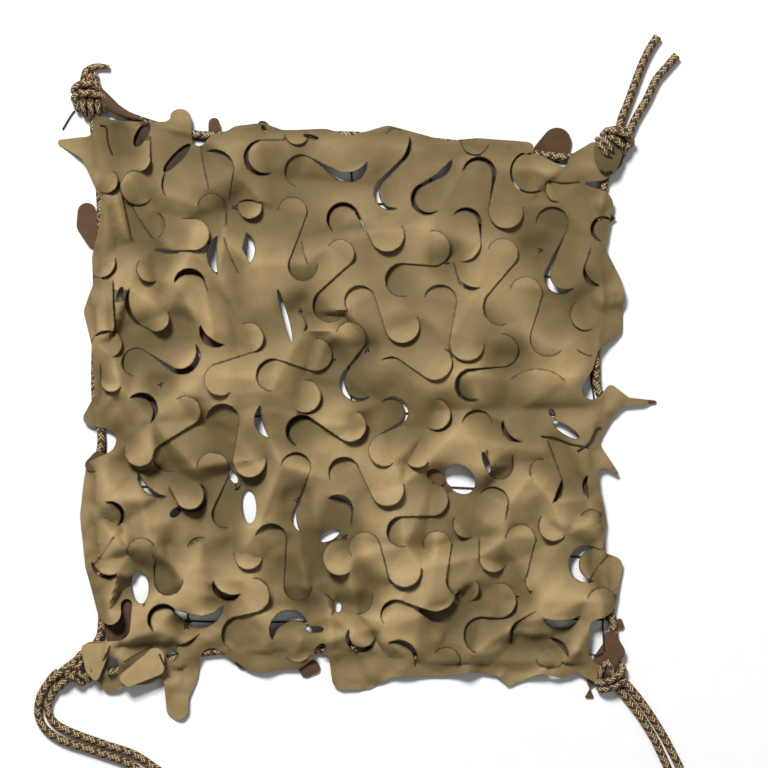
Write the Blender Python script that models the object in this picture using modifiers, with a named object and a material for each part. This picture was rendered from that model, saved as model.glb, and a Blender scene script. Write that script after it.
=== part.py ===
"""Camouflage netting: one incised cloth laid on a twine net, with a braided rope knotted round its edge.

The sheet lies flat on z = 0, with +Z up. Plan places are in millimetres on a cutting table, x to the
right and y towards the maker, and place() turns them into the part's frame in metres. A "turn" is a round
stretch of an outline or a cut: positive radii turn clockwise in plan, negative ones the other way, and
straight runs join them.
"""

import math
from collections import namedtuple

import bmesh
import bpy
import numpy as np
from mathutils import Vector, bvhtree, geometry

MM = 0.001
PLAN_CENTRE = (356.5, 400.9)  # plan point over the origin

ROPE_WIDTH = 8.0
ROPE_CENTRE_Z = 4.1
TWINE_WIDTH = 2.0
TWINE_HEIGHT = 1.5
NET_TO_ROPE = 3.7  # the net's selvedge, from the rope's centre line
NET_KNOT = 3.2  # half the width of a net knot
CLOTH_THICK = 1.2
CLEARANCE = 0.4
KNOT_CLEARANCE = 2.0  # where a rope is cut back to before its end is brought up to its knot
END_GAP = 0.5  # between a rope's end face and its knot

CLOTH_LOFT = 10.0  # mean height of the loose cloth
CLOTH_LOWEST = 1.6  # middle of the cloth where a tab touches down
TIED_Z = TWINE_HEIGHT + CLEARANCE + CLOTH_THICK / 2 + 0.1
OVER_ROPE_Z = ROPE_CENTRE_Z + ROPE_WIDTH / 2 + CLEARANCE + CLOTH_THICK / 2 + 0.2
TAB_FALL = 0.28  # how fast a tab beyond the rope falls, mm a mm
TIE_SPREAD = 17.0  # how wide a lashing draws the cloth down

EDGE_STEP = 9.0
GRID_STEP = 16.0
GAP_STEP = 6.5
LEAST_FROM_EDGE = 6.0
TAU = 2 * math.pi

Turn = namedtuple("Turn", "x y radius")
Gap = namedtuple("Gap", "start end lead tail width lift turns")
Fold = namedtuple("Fold", "x1 y1 x2 y2 spread height")
Knot = namedtuple("Knot", "name x y half_width half_length height tilt")
Route = namedtuple("Route", "name knots points")

# The cloth's cut edge, clockwise from the top left flap: tabs stand out, and notches (negative) run in.
CLOTH_EDGE = (
    Turn(60, 143, 3), Turn(85, 125, 5), Turn(114, 130, 7), Turn(160, 115, -8), Turn(180, 120, 11.5),
    Turn(200, 140, -6), Turn(215, 124, 6.5), Turn(226, 125, -3), Turn(238, 134, 8), Turn(262, 131, 8),
    Turn(284, 121, -9), Turn(325, 143, 14), Turn(350, 124, -12), Turn(388, 144, 18), Turn(448, 122, -19),
    Turn(478, 150, 12), Turn(521, 151, 9), Turn(533, 143, -3), Turn(555, 146, 18), Turn(578, 152, -4),
    Turn(590, 166, 6), Turn(613, 180, -8), Turn(602, 209, 11), Turn(614, 246, -9), Turn(616, 280, 5),
    Turn(628, 290, -4), Turn(612, 305, 11), Turn(617, 330, 5), Turn(607, 356, -10), Turn(588, 367, 5),
    Turn(592, 389, -10.5), Turn(611, 390, 5), Turn(632, 391, -7), Turn(656, 402, 1.5), Turn(626, 417, -11),
    Turn(604, 426, 3), Turn(605, 441, -6), Turn(617, 474, 2), Turn(604, 474, -6), Turn(590, 485, 9),
    Turn(593, 521, 13), Turn(612, 546, -9), Turn(612, 567, 11), Turn(622, 606, -8), Turn(618, 624, 5),
    Turn(622, 635, -3), Turn(617, 649, 9.5), Turn(611, 678, -17.5), Turn(587, 664, 7), Turn(563, 667, 10),
    Turn(541, 682, -8), Turn(509, 682, 4), Turn(493, 684, -9), Turn(472, 664, 8),
    Turn(440, 664, 13), Turn(416, 682, -6), Turn(392, 666, 11), Turn(362, 677, 13), Turn(322, 668, -9),
    Turn(298, 663, 6), Turn(255, 657, 15), Turn(212, 660, -12), Turn(187, 679, 10), Turn(200, 701, -12),
    Turn(177, 709, 11), Turn(160, 682, -4), Turn(144, 670, 15), Turn(124, 690, -4), Turn(110, 683, 9),
    Turn(99, 687, -3), Turn(94, 668, 9), Turn(93, 651, 9), Turn(106, 624, -12),
    Turn(106, 598, 9), Turn(97, 565, 13), Turn(95, 515, 15), Turn(78, 478, -6), Turn(94, 468, 8),
    Turn(103, 441, -13), Turn(91, 418, 8), Turn(87, 393, -8), Turn(104, 344, 12), Turn(97, 312, 13),
    Turn(85, 284, -8), Turn(104, 260, 10), Turn(96, 246, -4), Turn(86, 229, 10), Turn(86, 214, 10),
    Turn(100, 198, -3), Turn(66, 172, -20),
)

# Gaps that stand open by more than 4 mm: the cut follows the turns between two bearings in degrees, with a
# straight lead and tail, and the tongue on its hollow side stands back from it by up to the width.
CLOTH_GAPS = (
    Gap(240, 140, 26, 0, 9, -3, (Turn(183, 182, -20),)),
    Gap(250, 370, 0, 20, 8, -3, (Turn(214, 170, 20),)),
    Gap(255, 95, 8, 0, 5, 3, (Turn(262, 158, -17),)),
    Gap(100, 10, 10, 0, 12, 5, (Turn(346, 162, -19),)),
    Gap(215, 100, 22, 0, 7, -4, (Turn(391, 193, -17),)),
    Gap(10, 95, 0, 26, 6, 5, (Turn(432, 160, 19),)),
    Gap(150, 320, 0, 10, 6, 2, (Turn(529, 175, 20),)),
    Gap(220, 130, 0, 0, 7, 3, (Turn(232, 255, -24),)),
    Gap(-45, 40, 0, 0, 10, -3, (Turn(233, 249, 23),)),
    Gap(190, 350, 0, 0, 5, -3, (Turn(190, 284, 15),)),
    Gap(190, 60, 30, 0, 9, -4, (Turn(291, 328, -15),)),
    Gap(200, 80, 8, 0, 7, 3, (Turn(216, 331, -16),)),
    Gap(215, 120, 0, 0, 9, 3, (Turn(145, 304, -26),)),
    Gap(120, 0, 0, 0, 8, 3, (Turn(183, 357, -18),)),
    Gap(235, 130, 0, 0, 6, -2, (Turn(358, 383, -18),)),
    Gap(215, 110, 0, 0, 6, -3, (Turn(274, 419, -19),)),
    Gap(270, 395, 0, 0, 6, -3, (Turn(142, 409, 16),)),
    Gap(200, 110, 26, 0, 5, 3, (Turn(561, 277, -17),)),
    Gap(250, 420, 0, 0, 5, -4, (Turn(302, 431, -16),)),
    Gap(195, 70, 0, 0, 6, -4, (Turn(501, 461, -18),)),
    Gap(-10, 65, 26, 0, 6, 2, (Turn(545, 486, 18),)),
    Gap(180, 85, 0, 0, 5, 3, (Turn(162, 473, -24),)),
    Gap(120, 0, 0, 0, 5, 4, (Turn(192, 497, -15),)),
    Gap(290, 90, 6, 0, 9, -2, (Turn(585, 566, -19),)),
    Gap(140, 20, 0, 0, 9, 5, (Turn(561, 607, -21),)),
    Gap(150, 10, 8, 0, 12, 5, (Turn(200, 605, -22),)),
    Gap(175, 40, 0, 0, 8, 3, (Turn(228, 586, -15),)),
    Gap(160, 340, 0, 0, 12, -3, (Turn(289, 629, 19),)),
    Gap(275, 150, 0, 0, 8, 4, (Turn(340, 554, -19),)),
    Gap(250, 370, 0, 12, 6, -3, (Turn(338, 509, 15),)),
    Gap(120, -25, 0, 0, 12, 5, (Turn(440, 604, -19),)),
    Gap(150, 20, 0, 0, 5, 4, (Turn(361, 637, -15),)),
    Gap(170, 60, 0, 0, 5, 4, (Turn(107, 564, -15),)),
    Gap(260, 350, 0, 0, 5, -3, (Turn(398, 659, 19),)),
    Gap(200, 120, 4, 0, 5, 2, (Turn(596, 489, -14),)),
    Gap(150, 60, 0, 0, 5, 2, (Turn(597, 273, -14),)),
)

Hole = namedtuple("Hole", "x y half_width half_length tilt")
# Places where four tongues have parted and left a hole, with the tilt of the longer side from +x in plan.
CLOTH_HOLES = (
    Hole(143, 139, 12, 5, -60), Hole(249, 506, 19, 9, 85), Hole(233, 477, 7, 3.5, 60),
    Hole(140, 587, 19, 11, 82), Hole(460, 479, 17, 13, 45), Hole(434, 475, 7.5, 6, 10),
    Hole(568, 431, 18, 5, 28), Hole(597, 640, 15, 5, 90), Hole(315, 629, 9, 3.5, 0),
    Hole(337, 605, 7, 4, 75), Hole(172, 655, 6.5, 5.5, 0), Hole(111, 667, 9, 5.5, -65),
    Hole(176, 512, 6.5, 4, -40), Hole(592, 188, 8, 3.5, 25),
)

# Ridges (positive) and troughs of the loose cloth, each along a line, with its half width and its height.
CLOTH_FOLDS = (
    Fold(110, 160, 118, 330, 11, 5), Fold(135, 205, 160, 262, 12, -6), Fold(165, 190, 200, 240, 20, 5),
    Fold(175, 300, 225, 330, 20, 6), Fold(250, 150, 262, 300, 26, 4), Fold(290, 178, 372, 186, 12, -6),
    Fold(300, 130, 420, 150, 14, 4), Fold(380, 175, 385, 215, 9, -4), Fold(345, 215, 400, 235, 20, 5),
    Fold(430, 230, 520, 260, 24, 5), Fold(480, 165, 560, 175, 18, 4), Fold(560, 215, 590, 330, 16, -4),
    Fold(500, 290, 545, 350, 26, 5), Fold(400, 310, 470, 340, 24, 5), Fold(445, 374, 575, 380, 18, 8),
    Fold(440, 411, 600, 408, 12, -8), Fold(455, 440, 545, 452, 16, 6), Fold(330, 335, 365, 345, 15, 7),
    Fold(130, 350, 200, 345, 12, -4), Fold(120, 375, 190, 392, 15, 6), Fold(205, 375, 260, 378, 16, 6),
    Fold(215, 430, 232, 470, 11, -6), Fold(165, 415, 190, 425, 16, 4), Fold(240, 440, 262, 470, 14, 7),
    Fold(325, 425, 365, 425, 12, 8), Fold(280, 480, 265, 520, 15, -4), Fold(310, 470, 318, 530, 13, 6),
    Fold(138, 480, 150, 540, 12, 8), Fold(104, 480, 100, 540, 12, 4), Fold(168, 545, 175, 590, 12, -6),
    Fold(203, 545, 196, 595, 16, 8), Fold(100, 560, 118, 545, 11, 7), Fold(250, 530, 244, 560, 14, 6),
    Fold(285, 560, 300, 605, 12, -6), Fold(360, 545, 400, 580, 20, 7), Fold(436, 540, 430, 590, 12, 8),
    Fold(468, 560, 462, 610, 14, -4), Fold(500, 545, 520, 560, 18, 5), Fold(280, 606, 460, 606, 12, -6),
    Fold(330, 640, 420, 615, 14, 7), Fold(180, 610, 235, 640, 20, 5), Fold(470, 640, 560, 650, 16, -4),
    Fold(545, 600, 600, 600, 14, 7), Fold(545, 520, 590, 530, 16, 6), Fold(400, 470, 395, 510, 14, 5),
)

LASHINGS = (
    (447, 262), (235, 207), (333, 360), (367, 350), (511, 360), (366, 428), (405, 424), (443, 483),
    (237, 487), (298, 500), (345, 537), (516, 597), (186, 627), (160, 385), (540, 250), (300, 310),
)

NET_COLUMNS = (190, 270, 350, 430, 510)
NET_ROWS = (205, 275, 345, 415, 487, 557, 620)

KNOTS = (
    Knot("corner_knot_top_left", 88, 99, 16, 17, 20, 0),
    Knot("corner_knot_top_right", 616, 149, 16, 22, 21, 22),
    Knot("corner_knot_bottom_left", 70, 673, 12, 16, 19, 40),
    Knot("corner_knot_bottom_right", 611, 677, 13, 15, 18, -20),
)

# Each side's rope, from knot to knot.
EDGE_ROPES = (
    Route("edge_rope_top", (0, 1), (
        (90, 98), (112, 108), (130, 116), (160, 126), (206, 135), (290, 134), (370, 136), (450, 143),
        (545, 155), (575, 157), (614, 150))),
    Route("edge_rope_right", (1, 3), (
        (613, 152), (604, 186), (600, 240), (602, 300), (597, 352), (597, 384), (601, 402), (593, 433),
        (584, 448), (591, 472), (598, 500), (602, 560), (611, 610), (614, 640), (611, 674))),
    Route("edge_rope_bottom", (3, 2), (
        (608, 674), (590, 664), (525, 661), (462, 662), (414, 660), (370, 652), (322, 650), (262, 651),
        (210, 652), (170, 661), (130, 668), (100, 675), (72, 679))),
    Route("edge_rope_left", (2, 0), (
        (74, 664), (84, 656), (94, 646), (101, 630), (101, 590), (98, 520), (97, 470), (101, 438), (95, 395),
        (96, 330), (101, 270), (100, 200), (95, 140), (90, 102))),
)

# The free ends of the same ropes, from their knot outwards.
TIES = (
    Route("tie_top_left", (0,), ((86, 94), (84, 78), (87, 70), (97, 66), (109, 67))),
    Route("tie_top_right_a", (1,), ((618, 140), (622, 118), (629, 100), (640, 70), (649, 50), (658, 36))),
    Route("tie_top_right_b", (1,), ((625, 145), (636, 118), (647, 99), (656, 80), (664, 70), (677, 55))),
    Route("tie_bottom_left_a", (2,), (
        (76, 674), (57, 687), (48, 703), (50, 718), (65, 730), (102, 744), (134, 755), (160, 772))),
    Route("tie_bottom_left_b", (2,), (
        (70, 666), (50, 680), (39, 700), (40, 722), (58, 739), (98, 753), (128, 764), (150, 780))),
    Route("tie_bottom_right_a", (3,), (
        (614, 674), (630, 688), (645, 707), (660, 730), (670, 748), (680, 768), (685, 782))),
    Route("tie_bottom_right_b", (3,), (
        (608, 679), (623, 694), (638, 713), (652, 735), (661, 753), (669, 771), (673, 784))),
)
TIE_STEP = 14.0
ROPE_STEP = 24.0


def place(x, y, z):
    return Vector(((x - PLAN_CENTRE[0]) * MM, (PLAN_CENTRE[1] - y) * MM, z * MM))


def clear_scene():
    for thing in list(bpy.data.objects):
        bpy.data.objects.remove(thing, do_unlink=True)


def finish(name, colour, roughness):
    """A plain cloth or rope finish for one solid."""
    material = bpy.data.materials.new(name)
    material.use_nodes = True
    shader = material.node_tree.nodes["Principled BSDF"]
    shader.inputs["Base Color"].default_value = (*colour, 1.0)
    shader.inputs["Roughness"].default_value = roughness
    shader.inputs["Metallic"].default_value = 0.0
    return material


def add_to_part(thing, collection, material):
    thing.data.materials.append(material)
    collection.objects.link(thing)


# ---- outlines and cuts in plan ------------------------------------------------------------------


def on_turn(turn, heading):
    """The point of a turn where the path has this heading."""
    return (
        turn.x + turn.radius * math.sin(heading),
        turn.y - turn.radius * math.cos(heading),
    )


def heading_between(first, second):
    """The heading of the straight run that leaves one turn and joins the next."""
    across, down = second.x - first.x, second.y - first.y
    lean = (second.radius - first.radius) / math.hypot(across, down)
    return math.atan2(down, across) - math.asin(max(-0.97, min(0.97, lean)))


def arc(turn, heading_in, heading_out, step):
    way = 1 if turn.radius > 0 else -1
    sweep = (way * (heading_out - heading_in)) % TAU
    if sweep > TAU - 0.5:
        sweep = 0.0
    count = max(1, round(sweep * abs(turn.radius) / step))
    return [
        on_turn(turn, heading_in + way * sweep * i / count) for i in range(count + 1)
    ]


def spaced(points, step, closed):
    """The same path with points an even step apart."""
    path = np.array(list(points) + ([points[0]] if closed else []), float)
    along = np.concatenate([[0], np.cumsum(np.hypot(*np.diff(path, axis=0).T))])
    count = max(2, round(along[-1] / step))
    at = np.linspace(0, along[-1], count + 1)
    out = np.column_stack([np.interp(at, along, path[:, i]) for i in range(path.shape[1])])
    return out[:-1] if closed else out


def closed_outline(turns, step):
    """A closed outline round all the turns, with straight runs between them."""
    points = []
    for i, turn in enumerate(turns):
        heading_in = heading_between(turns[i - 1], turn)
        heading_out = heading_between(turn, turns[(i + 1) % len(turns)])
        points += arc(turn, heading_in, heading_out, 2.0)
    return spaced(points, step, closed=True)


def cut_path(gap, step):
    """A cut from its first bearing to its last, with its straight lead and tail."""
    first, last = gap.turns[0], gap.turns[-1]
    heading_in = math.radians(gap.start) + math.copysign(math.pi / 2, first.radius)
    last_heading = math.radians(gap.end) + math.copysign(math.pi / 2, last.radius)
    headings = [heading_in]
    for a, b in zip(gap.turns, gap.turns[1:]):
        headings.append(heading_between(a, b))
    headings.append(last_heading)
    points = []
    for turn, into, out in zip(gap.turns, headings, headings[1:]):
        points += arc(turn, into, out, 2.0)
    if gap.lead:
        x, y = points[0]
        points.insert(0, (x - gap.lead * math.cos(heading_in), y - gap.lead * math.sin(heading_in)))
    if gap.tail:
        x, y = points[-1]
        points.append((x + gap.tail * math.cos(last_heading), y + gap.tail * math.sin(last_heading)))
    return spaced(points, step, closed=False)


def gap_loop(gap):
    """The two sides of an open cut: its outer side and the tongue's edge, and how far each point lifts."""
    outer = cut_path(gap, GAP_STEP)
    along = np.gradient(outer, axis=0)
    along /= np.linalg.norm(along, axis=1)[:, None]
    hollow_side = math.copysign(1, gap.turns[0].radius)
    inward = np.column_stack([-along[:, 1], along[:, 0]]) * hollow_side
    opening = np.sin(np.linspace(0, math.pi, len(outer))) ** 0.7
    inner = outer + inward * (gap.width * opening)[:, None]
    loop = np.vstack([outer, inner[-2:0:-1]])
    lift = np.concatenate([-0.3 * gap.lift * opening, gap.lift * opening[-2:0:-1]])
    return loop, lift


def hole_loop(hole):
    count = max(8, round(math.pi * (hole.half_width + hole.half_length) / GAP_STEP))
    turn = np.arange(count) * TAU / count
    tilt = math.radians(hole.tilt)
    along, across = hole.half_width * np.cos(turn), hole.half_length * np.sin(turn)
    return np.column_stack([
        hole.x + along * math.cos(tilt) - across * math.sin(tilt),
        hole.y + along * math.sin(tilt) + across * math.cos(tilt),
    ])


def inside(points, loop):
    """Which points lie inside a closed loop."""
    x, y = points[:, 0:1], points[:, 1:2]
    x1, y1 = loop[:, 0], loop[:, 1]
    x2, y2 = np.roll(x1, -1), np.roll(y1, -1)
    crosses = (y1 > y) != (y2 > y)
    rise = np.where(y2 == y1, 1.0, y2 - y1)
    return (crosses & (x < (x2 - x1) * (y - y1) / rise + x1)).sum(axis=1) % 2 == 1


def distance_to_path(points, path):
    """How far each point is from a path of straight pieces."""
    start, run = path[:-1], np.diff(path, axis=0)
    offset = points[:, None, :] - start[None]
    share = np.clip((offset * run).sum(-1) / (run**2).sum(-1), 0, 1)
    return np.linalg.norm(offset - share[..., None] * run, axis=-1).min(axis=1)


def smooth_route(points, step):
    """A smooth curve through a route's own points, with points an even step apart."""
    fixed = np.array(points, float)
    ends = np.vstack([2 * fixed[0] - fixed[1], fixed, 2 * fixed[-1] - fixed[-2]])
    out = []
    for i in range(1, len(ends) - 2):
        a, b, c, d = ends[i - 1 : i + 3]
        for t in np.arange(0, 1, 0.05):
            out.append(
                0.5 * (2 * b + (c - a) * t + (2 * a - 5 * b + 4 * c - d) * t**2
                       + (3 * b - a - 3 * c + d) * t**3)
            )
    return spaced(out + [fixed[-1]], step, closed=False)


# ---- ropes, ties and knots ----------------------------------------------------------------------


def in_knot(knot, points, grow):
    tilt = math.radians(knot.tilt)
    across = points[:, 0] - knot.x
    down = points[:, 1] - knot.y
    along_x = across * math.cos(tilt) + down * math.sin(tilt)
    along_y = down * math.cos(tilt) - across * math.sin(tilt)
    return (along_x / (knot.half_width + grow)) ** 2 + (along_y / (knot.half_length + grow)) ** 2 < 1


def clear_of_knots(route, clearance):
    """The route without the stretch inside each of its knots, whose face its end meets."""
    path = smooth_route(route.points, 0.5)
    along = np.gradient(path, axis=0)
    along /= np.linalg.norm(along, axis=1)[:, None]
    side = np.column_stack([-along[:, 1], along[:, 0]]) * ROPE_WIDTH / 2
    hidden = np.zeros(len(path), bool)
    for index in route.knots:
        knot = KNOTS[index]
        for shift in (-1, 0, 1):
            hidden |= in_knot(knot, path + shift * side, clearance)
    seen = np.flatnonzero(~hidden)
    first = seen[0]
    last = seen[-1]
    return path[first : last + 1]


def meet_knot(path, knot_surface):
    """The path with its first point slid along its first run until the rope's end stands just off the knot."""
    path = path.copy()
    for _ in range(40):
        run = (path[0] - path[1]) / np.linalg.norm(path[0] - path[1])
        gap = 100.0
        for turn in np.arange(24) * TAU / 24:
            for back in (0.0, 1.5, 3.0):
                x, y = path[0] - run * back
                across = ROPE_WIDTH / 2 * math.cos(turn)
                up = ROPE_WIDTH / 2 * math.sin(turn)
                spot = place(x - run[1] * across, y + run[0] * across, ROPE_CENTRE_Z + up)
                gap = min(gap, knot_surface.find_nearest(spot)[3] / MM)
        if abs(gap - END_GAP) < 0.04:
            break
        path[0] = path[0] + run * (gap - END_GAP) * 0.7
    return path


def add_rope(name, path, collection, material):
    curve = bpy.data.curves.new(name, "CURVE")
    curve.dimensions = "3D"
    curve.bevel_depth = ROPE_WIDTH / 2 * MM
    curve.bevel_resolution = 2
    curve.use_fill_caps = True
    spline = curve.splines.new("POLY")
    spline.points.add(len(path) - 1)
    for point, (x, y) in zip(spline.points, path):
        point.co = (*place(x, y, ROPE_CENTRE_Z), 1.0)
    add_to_part(bpy.data.objects.new(name, curve), collection, material)


def add_knot(knot, collection, material):
    """A knot as a flat-bottomed lump whose upper side is ridged by its wraps of rope, and its surface."""
    segments, rings = 22, 12
    middle = knot.height * 0.42
    shape = bmesh.new()
    bmesh.ops.create_uvsphere(shape, u_segments=segments, v_segments=rings, radius=1.0)
    tilt = math.radians(knot.tilt)
    for vert in shape.verts:
        x, y, z = vert.co
        above = max(0.0, z) ** 0.5
        wraps = 0.10 * above * (1 - abs(math.sin(3.2 * (x * 0.8 + y * 0.6) + 0.6)))
        across = x * knot.half_width * (1 - wraps)
        down = y * knot.half_length * (1 - wraps)
        height = middle + z * (knot.height - middle) * (1 - wraps)
        if z < -0.45:
            height = 0.0
        elif z < 0:
            height = middle * (1 + z / 0.5)
        vert.co = place(
            knot.x + across * math.cos(tilt) - down * math.sin(tilt),
            knot.y + across * math.sin(tilt) + down * math.cos(tilt),
            max(0.0, height),
        )
    bmesh.ops.recalc_face_normals(shape, faces=shape.faces)
    mesh = bpy.data.meshes.new(knot.name)
    shape.to_mesh(mesh)
    shape.free()
    add_to_part(bpy.data.objects.new(knot.name, mesh), collection, material)
    corners = [vert.co.copy() for vert in mesh.vertices]
    return bvhtree.BVHTree.FromPolygons(corners, [tuple(face.vertices) for face in mesh.polygons])


# ---- flat pieces from outlines ------------------------------------------------------------------


def filled(outline, holes, extra_points, extra_edges):
    """Triangles inside an outline and outside its holes, through any extra points and edges."""
    points = [tuple(p) for p in outline]
    edges = [(i, (i + 1) % len(outline)) for i in range(len(outline))]
    for hole in holes:
        first = len(points)
        points += [tuple(p) for p in hole]
        edges += [(first + i, first + (i + 1) % len(hole)) for i in range(len(hole))]
    first = len(points)
    points += [tuple(p) for p in extra_points]
    edges += [(first + a, first + b) for a, b in extra_edges]
    made = geometry.delaunay_2d_cdt([Vector(p) for p in points], edges, [], 0, 1e-4)
    spots = np.array([tuple(p) for p in made[0]])
    faces = np.array([tuple(face) for face in made[2]])
    middles = spots[faces].mean(axis=1)
    kept = inside(middles, np.array(outline))
    for hole in holes:
        kept &= ~inside(middles, np.array(hole))
    faces = faces[kept]
    used, index = np.unique(faces, return_inverse=True)
    return spots[used], index.reshape(-1, 3)


def sheet_object(name, spots, heights, faces, thickness, collection, material):
    """One sheet of even thickness through these points, closed all round."""
    mesh = bpy.data.meshes.new(name)
    corners = [place(x, y, z) for (x, y), z in zip(spots, heights)]
    mesh.from_pydata(corners, [], [tuple(face) for face in faces])
    shape = bmesh.new()
    shape.from_mesh(mesh)
    bmesh.ops.recalc_face_normals(shape, faces=shape.faces)
    if sum(face.normal.z for face in shape.faces) < 0:
        bmesh.ops.reverse_faces(shape, faces=shape.faces)
    shape.to_mesh(mesh)
    shape.free()
    sheet = bpy.data.objects.new(name, mesh)
    add_to_part(sheet, collection, material)
    solid = sheet.modifiers.new("thickness", "SOLIDIFY")
    solid.thickness = thickness * MM
    solid.offset = 0.0
    return sheet


# ---- the cloth ----------------------------------------------------------------------------------


def fold_height(spots):
    height = np.full(len(spots), CLOTH_LOFT)
    for fold in CLOTH_FOLDS:
        line = np.array([(fold.x1, fold.y1), (fold.x2, fold.y2)], float)
        height += fold.height * np.exp(-(distance_to_path(spots, line) / fold.spread) ** 2)
    return height


def relaxed(values, held, faces, rounds, hold_back):
    """Values spread smoothly from the held points over the sheet, dying away with distance."""
    pairs = np.vstack([faces[:, [0, 1]], faces[:, [1, 2]], faces[:, [2, 0]]])
    pairs = np.unique(np.sort(pairs, axis=1), axis=0)
    ends = np.concatenate([pairs[:, 0], pairs[:, 1]])
    others = np.concatenate([pairs[:, 1], pairs[:, 0]])
    degree = np.bincount(ends, minlength=len(values))
    for _ in range(rounds):
        total = np.bincount(ends, weights=values[others], minlength=len(values))
        values = np.where(held, values, total / (degree * (1 + hold_back)))
    return values


def cloth_heights(spots, faces, gap_points, gap_lifts, rope_paths):
    """The height of the cloth's middle: folds, lifted tongues, ties drawn down, and the rope passed over."""
    height = fold_height(spots)
    for x, y in LASHINGS:
        drawn = np.exp(-((np.hypot(spots[:, 0] - x, spots[:, 1] - y) / TIE_SPREAD) ** 2))
        height = height * (1 - drawn) + TIED_Z * drawn
    lift = np.zeros(len(spots))
    held = np.zeros(len(spots), bool)
    for point, value in zip(gap_points, gap_lifts):
        near = np.argmin(np.hypot(*(spots - point).T))
        lift[near] = value
        held[near] = True
    height += relaxed(lift, held, faces, rounds=60, hold_back=0.12)
    frame = np.vstack([path for path in rope_paths])
    outside_rope = ~inside(spots, frame)
    for path in rope_paths:
        away = distance_to_path(spots, path)
        near_rope = np.exp(-((away / 15.0) ** 2))
        height = height * (1 - near_rope) + OVER_ROPE_Z * near_rope
    nearest = np.min([distance_to_path(spots, path) for path in rope_paths], axis=0)
    fallen = OVER_ROPE_Z - TAB_FALL * np.maximum(0, nearest - 2.0)
    height = np.where(outside_rope, np.minimum(height, fallen), height)
    over_rope = OVER_ROPE_Z - 0.5 * np.maximum(0, nearest - 1.0)
    height = np.maximum(height, np.where(nearest < 9.0, over_rope, -1.0))
    height = np.maximum(height, np.where(outside_rope, CLOTH_LOWEST, TIED_Z))
    return np.where(nearest < 0.6, OVER_ROPE_Z + 0.3, height)


def add_cloth(collection, material, rope_paths):
    outline = closed_outline(CLOTH_EDGE, EDGE_STEP)
    gaps = [gap_loop(gap) for gap in CLOTH_GAPS]
    loops = [loop for loop, _ in gaps] + [hole_loop(hole) for hole in CLOTH_HOLES]
    low, high = outline.min(axis=0), outline.max(axis=0)
    rows = np.arange(low[1], high[1], GRID_STEP * 0.87)
    grid = np.array([
        (x + (GRID_STEP / 2 if row % 2 else 0), y)
        for row, y in enumerate(rows)
        for x in np.arange(low[0], high[0], GRID_STEP)
    ])
    kept = inside(grid, outline)
    kept &= distance_to_path(grid, np.vstack([outline, outline[:1]])) > LEAST_FROM_EDGE
    for loop in loops:
        kept &= ~inside(grid, loop)
        kept &= distance_to_path(grid, np.vstack([loop, loop[:1]])) > LEAST_FROM_EDGE
    for path in rope_paths:
        kept &= distance_to_path(grid, path) > LEAST_FROM_EDGE
    extra = [tuple(p) for p in grid[kept]] + [tuple(map(float, p)) for p in LASHINGS]
    edges = []
    for path in rope_paths:
        first = len(extra)
        extra += [tuple(p) for p in path]
        edges += [(first + i, first + i + 1) for i in range(len(path) - 1)]
    spots, faces = filled(outline, loops, extra, edges)
    gap_points = np.vstack([loop for loop, _ in gaps])
    gap_lifts = np.concatenate([lift for _, lift in gaps])
    heights = cloth_heights(spots, faces, gap_points, gap_lifts, rope_paths)
    sheet_object("garnish_cloth", spots, heights, faces, CLOTH_THICK, collection, material)


# ---- the support net ----------------------------------------------------------------------------


def selvedge(rope_paths):
    """The net's outer edge, just inside the four ropes."""
    middle = np.mean([path.mean(axis=0) for path in rope_paths], axis=0)
    edge = []
    for path in rope_paths:
        along = np.gradient(path, axis=0)
        along /= np.linalg.norm(along, axis=1)[:, None]
        inward = np.column_stack([-along[:, 1], along[:, 0]])
        towards = ((middle - path) * inward).sum(axis=1)
        edge.append((path + inward * np.sign(towards)[:, None] * NET_TO_ROPE)[1:-1])
    return edge


def cell_loop(corners):
    """One mesh of the net: its four sides stand half a twine in, and its corners clear the knots."""
    corners = np.array(corners, float)
    middle = corners.mean(axis=0)
    loop = []
    for i, corner in enumerate(corners):
        before, after = corners[i - 1], corners[(i + 1) % 4]
        inward = (middle - corner) / np.linalg.norm(middle - corner)
        for other in (before, after):
            run = (other - corner) / np.linalg.norm(other - corner)
            loop.append(corner + run * NET_KNOT * 1.6 + inward * TWINE_WIDTH * 0.5 / 0.7071)
    return np.array(loop)


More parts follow.
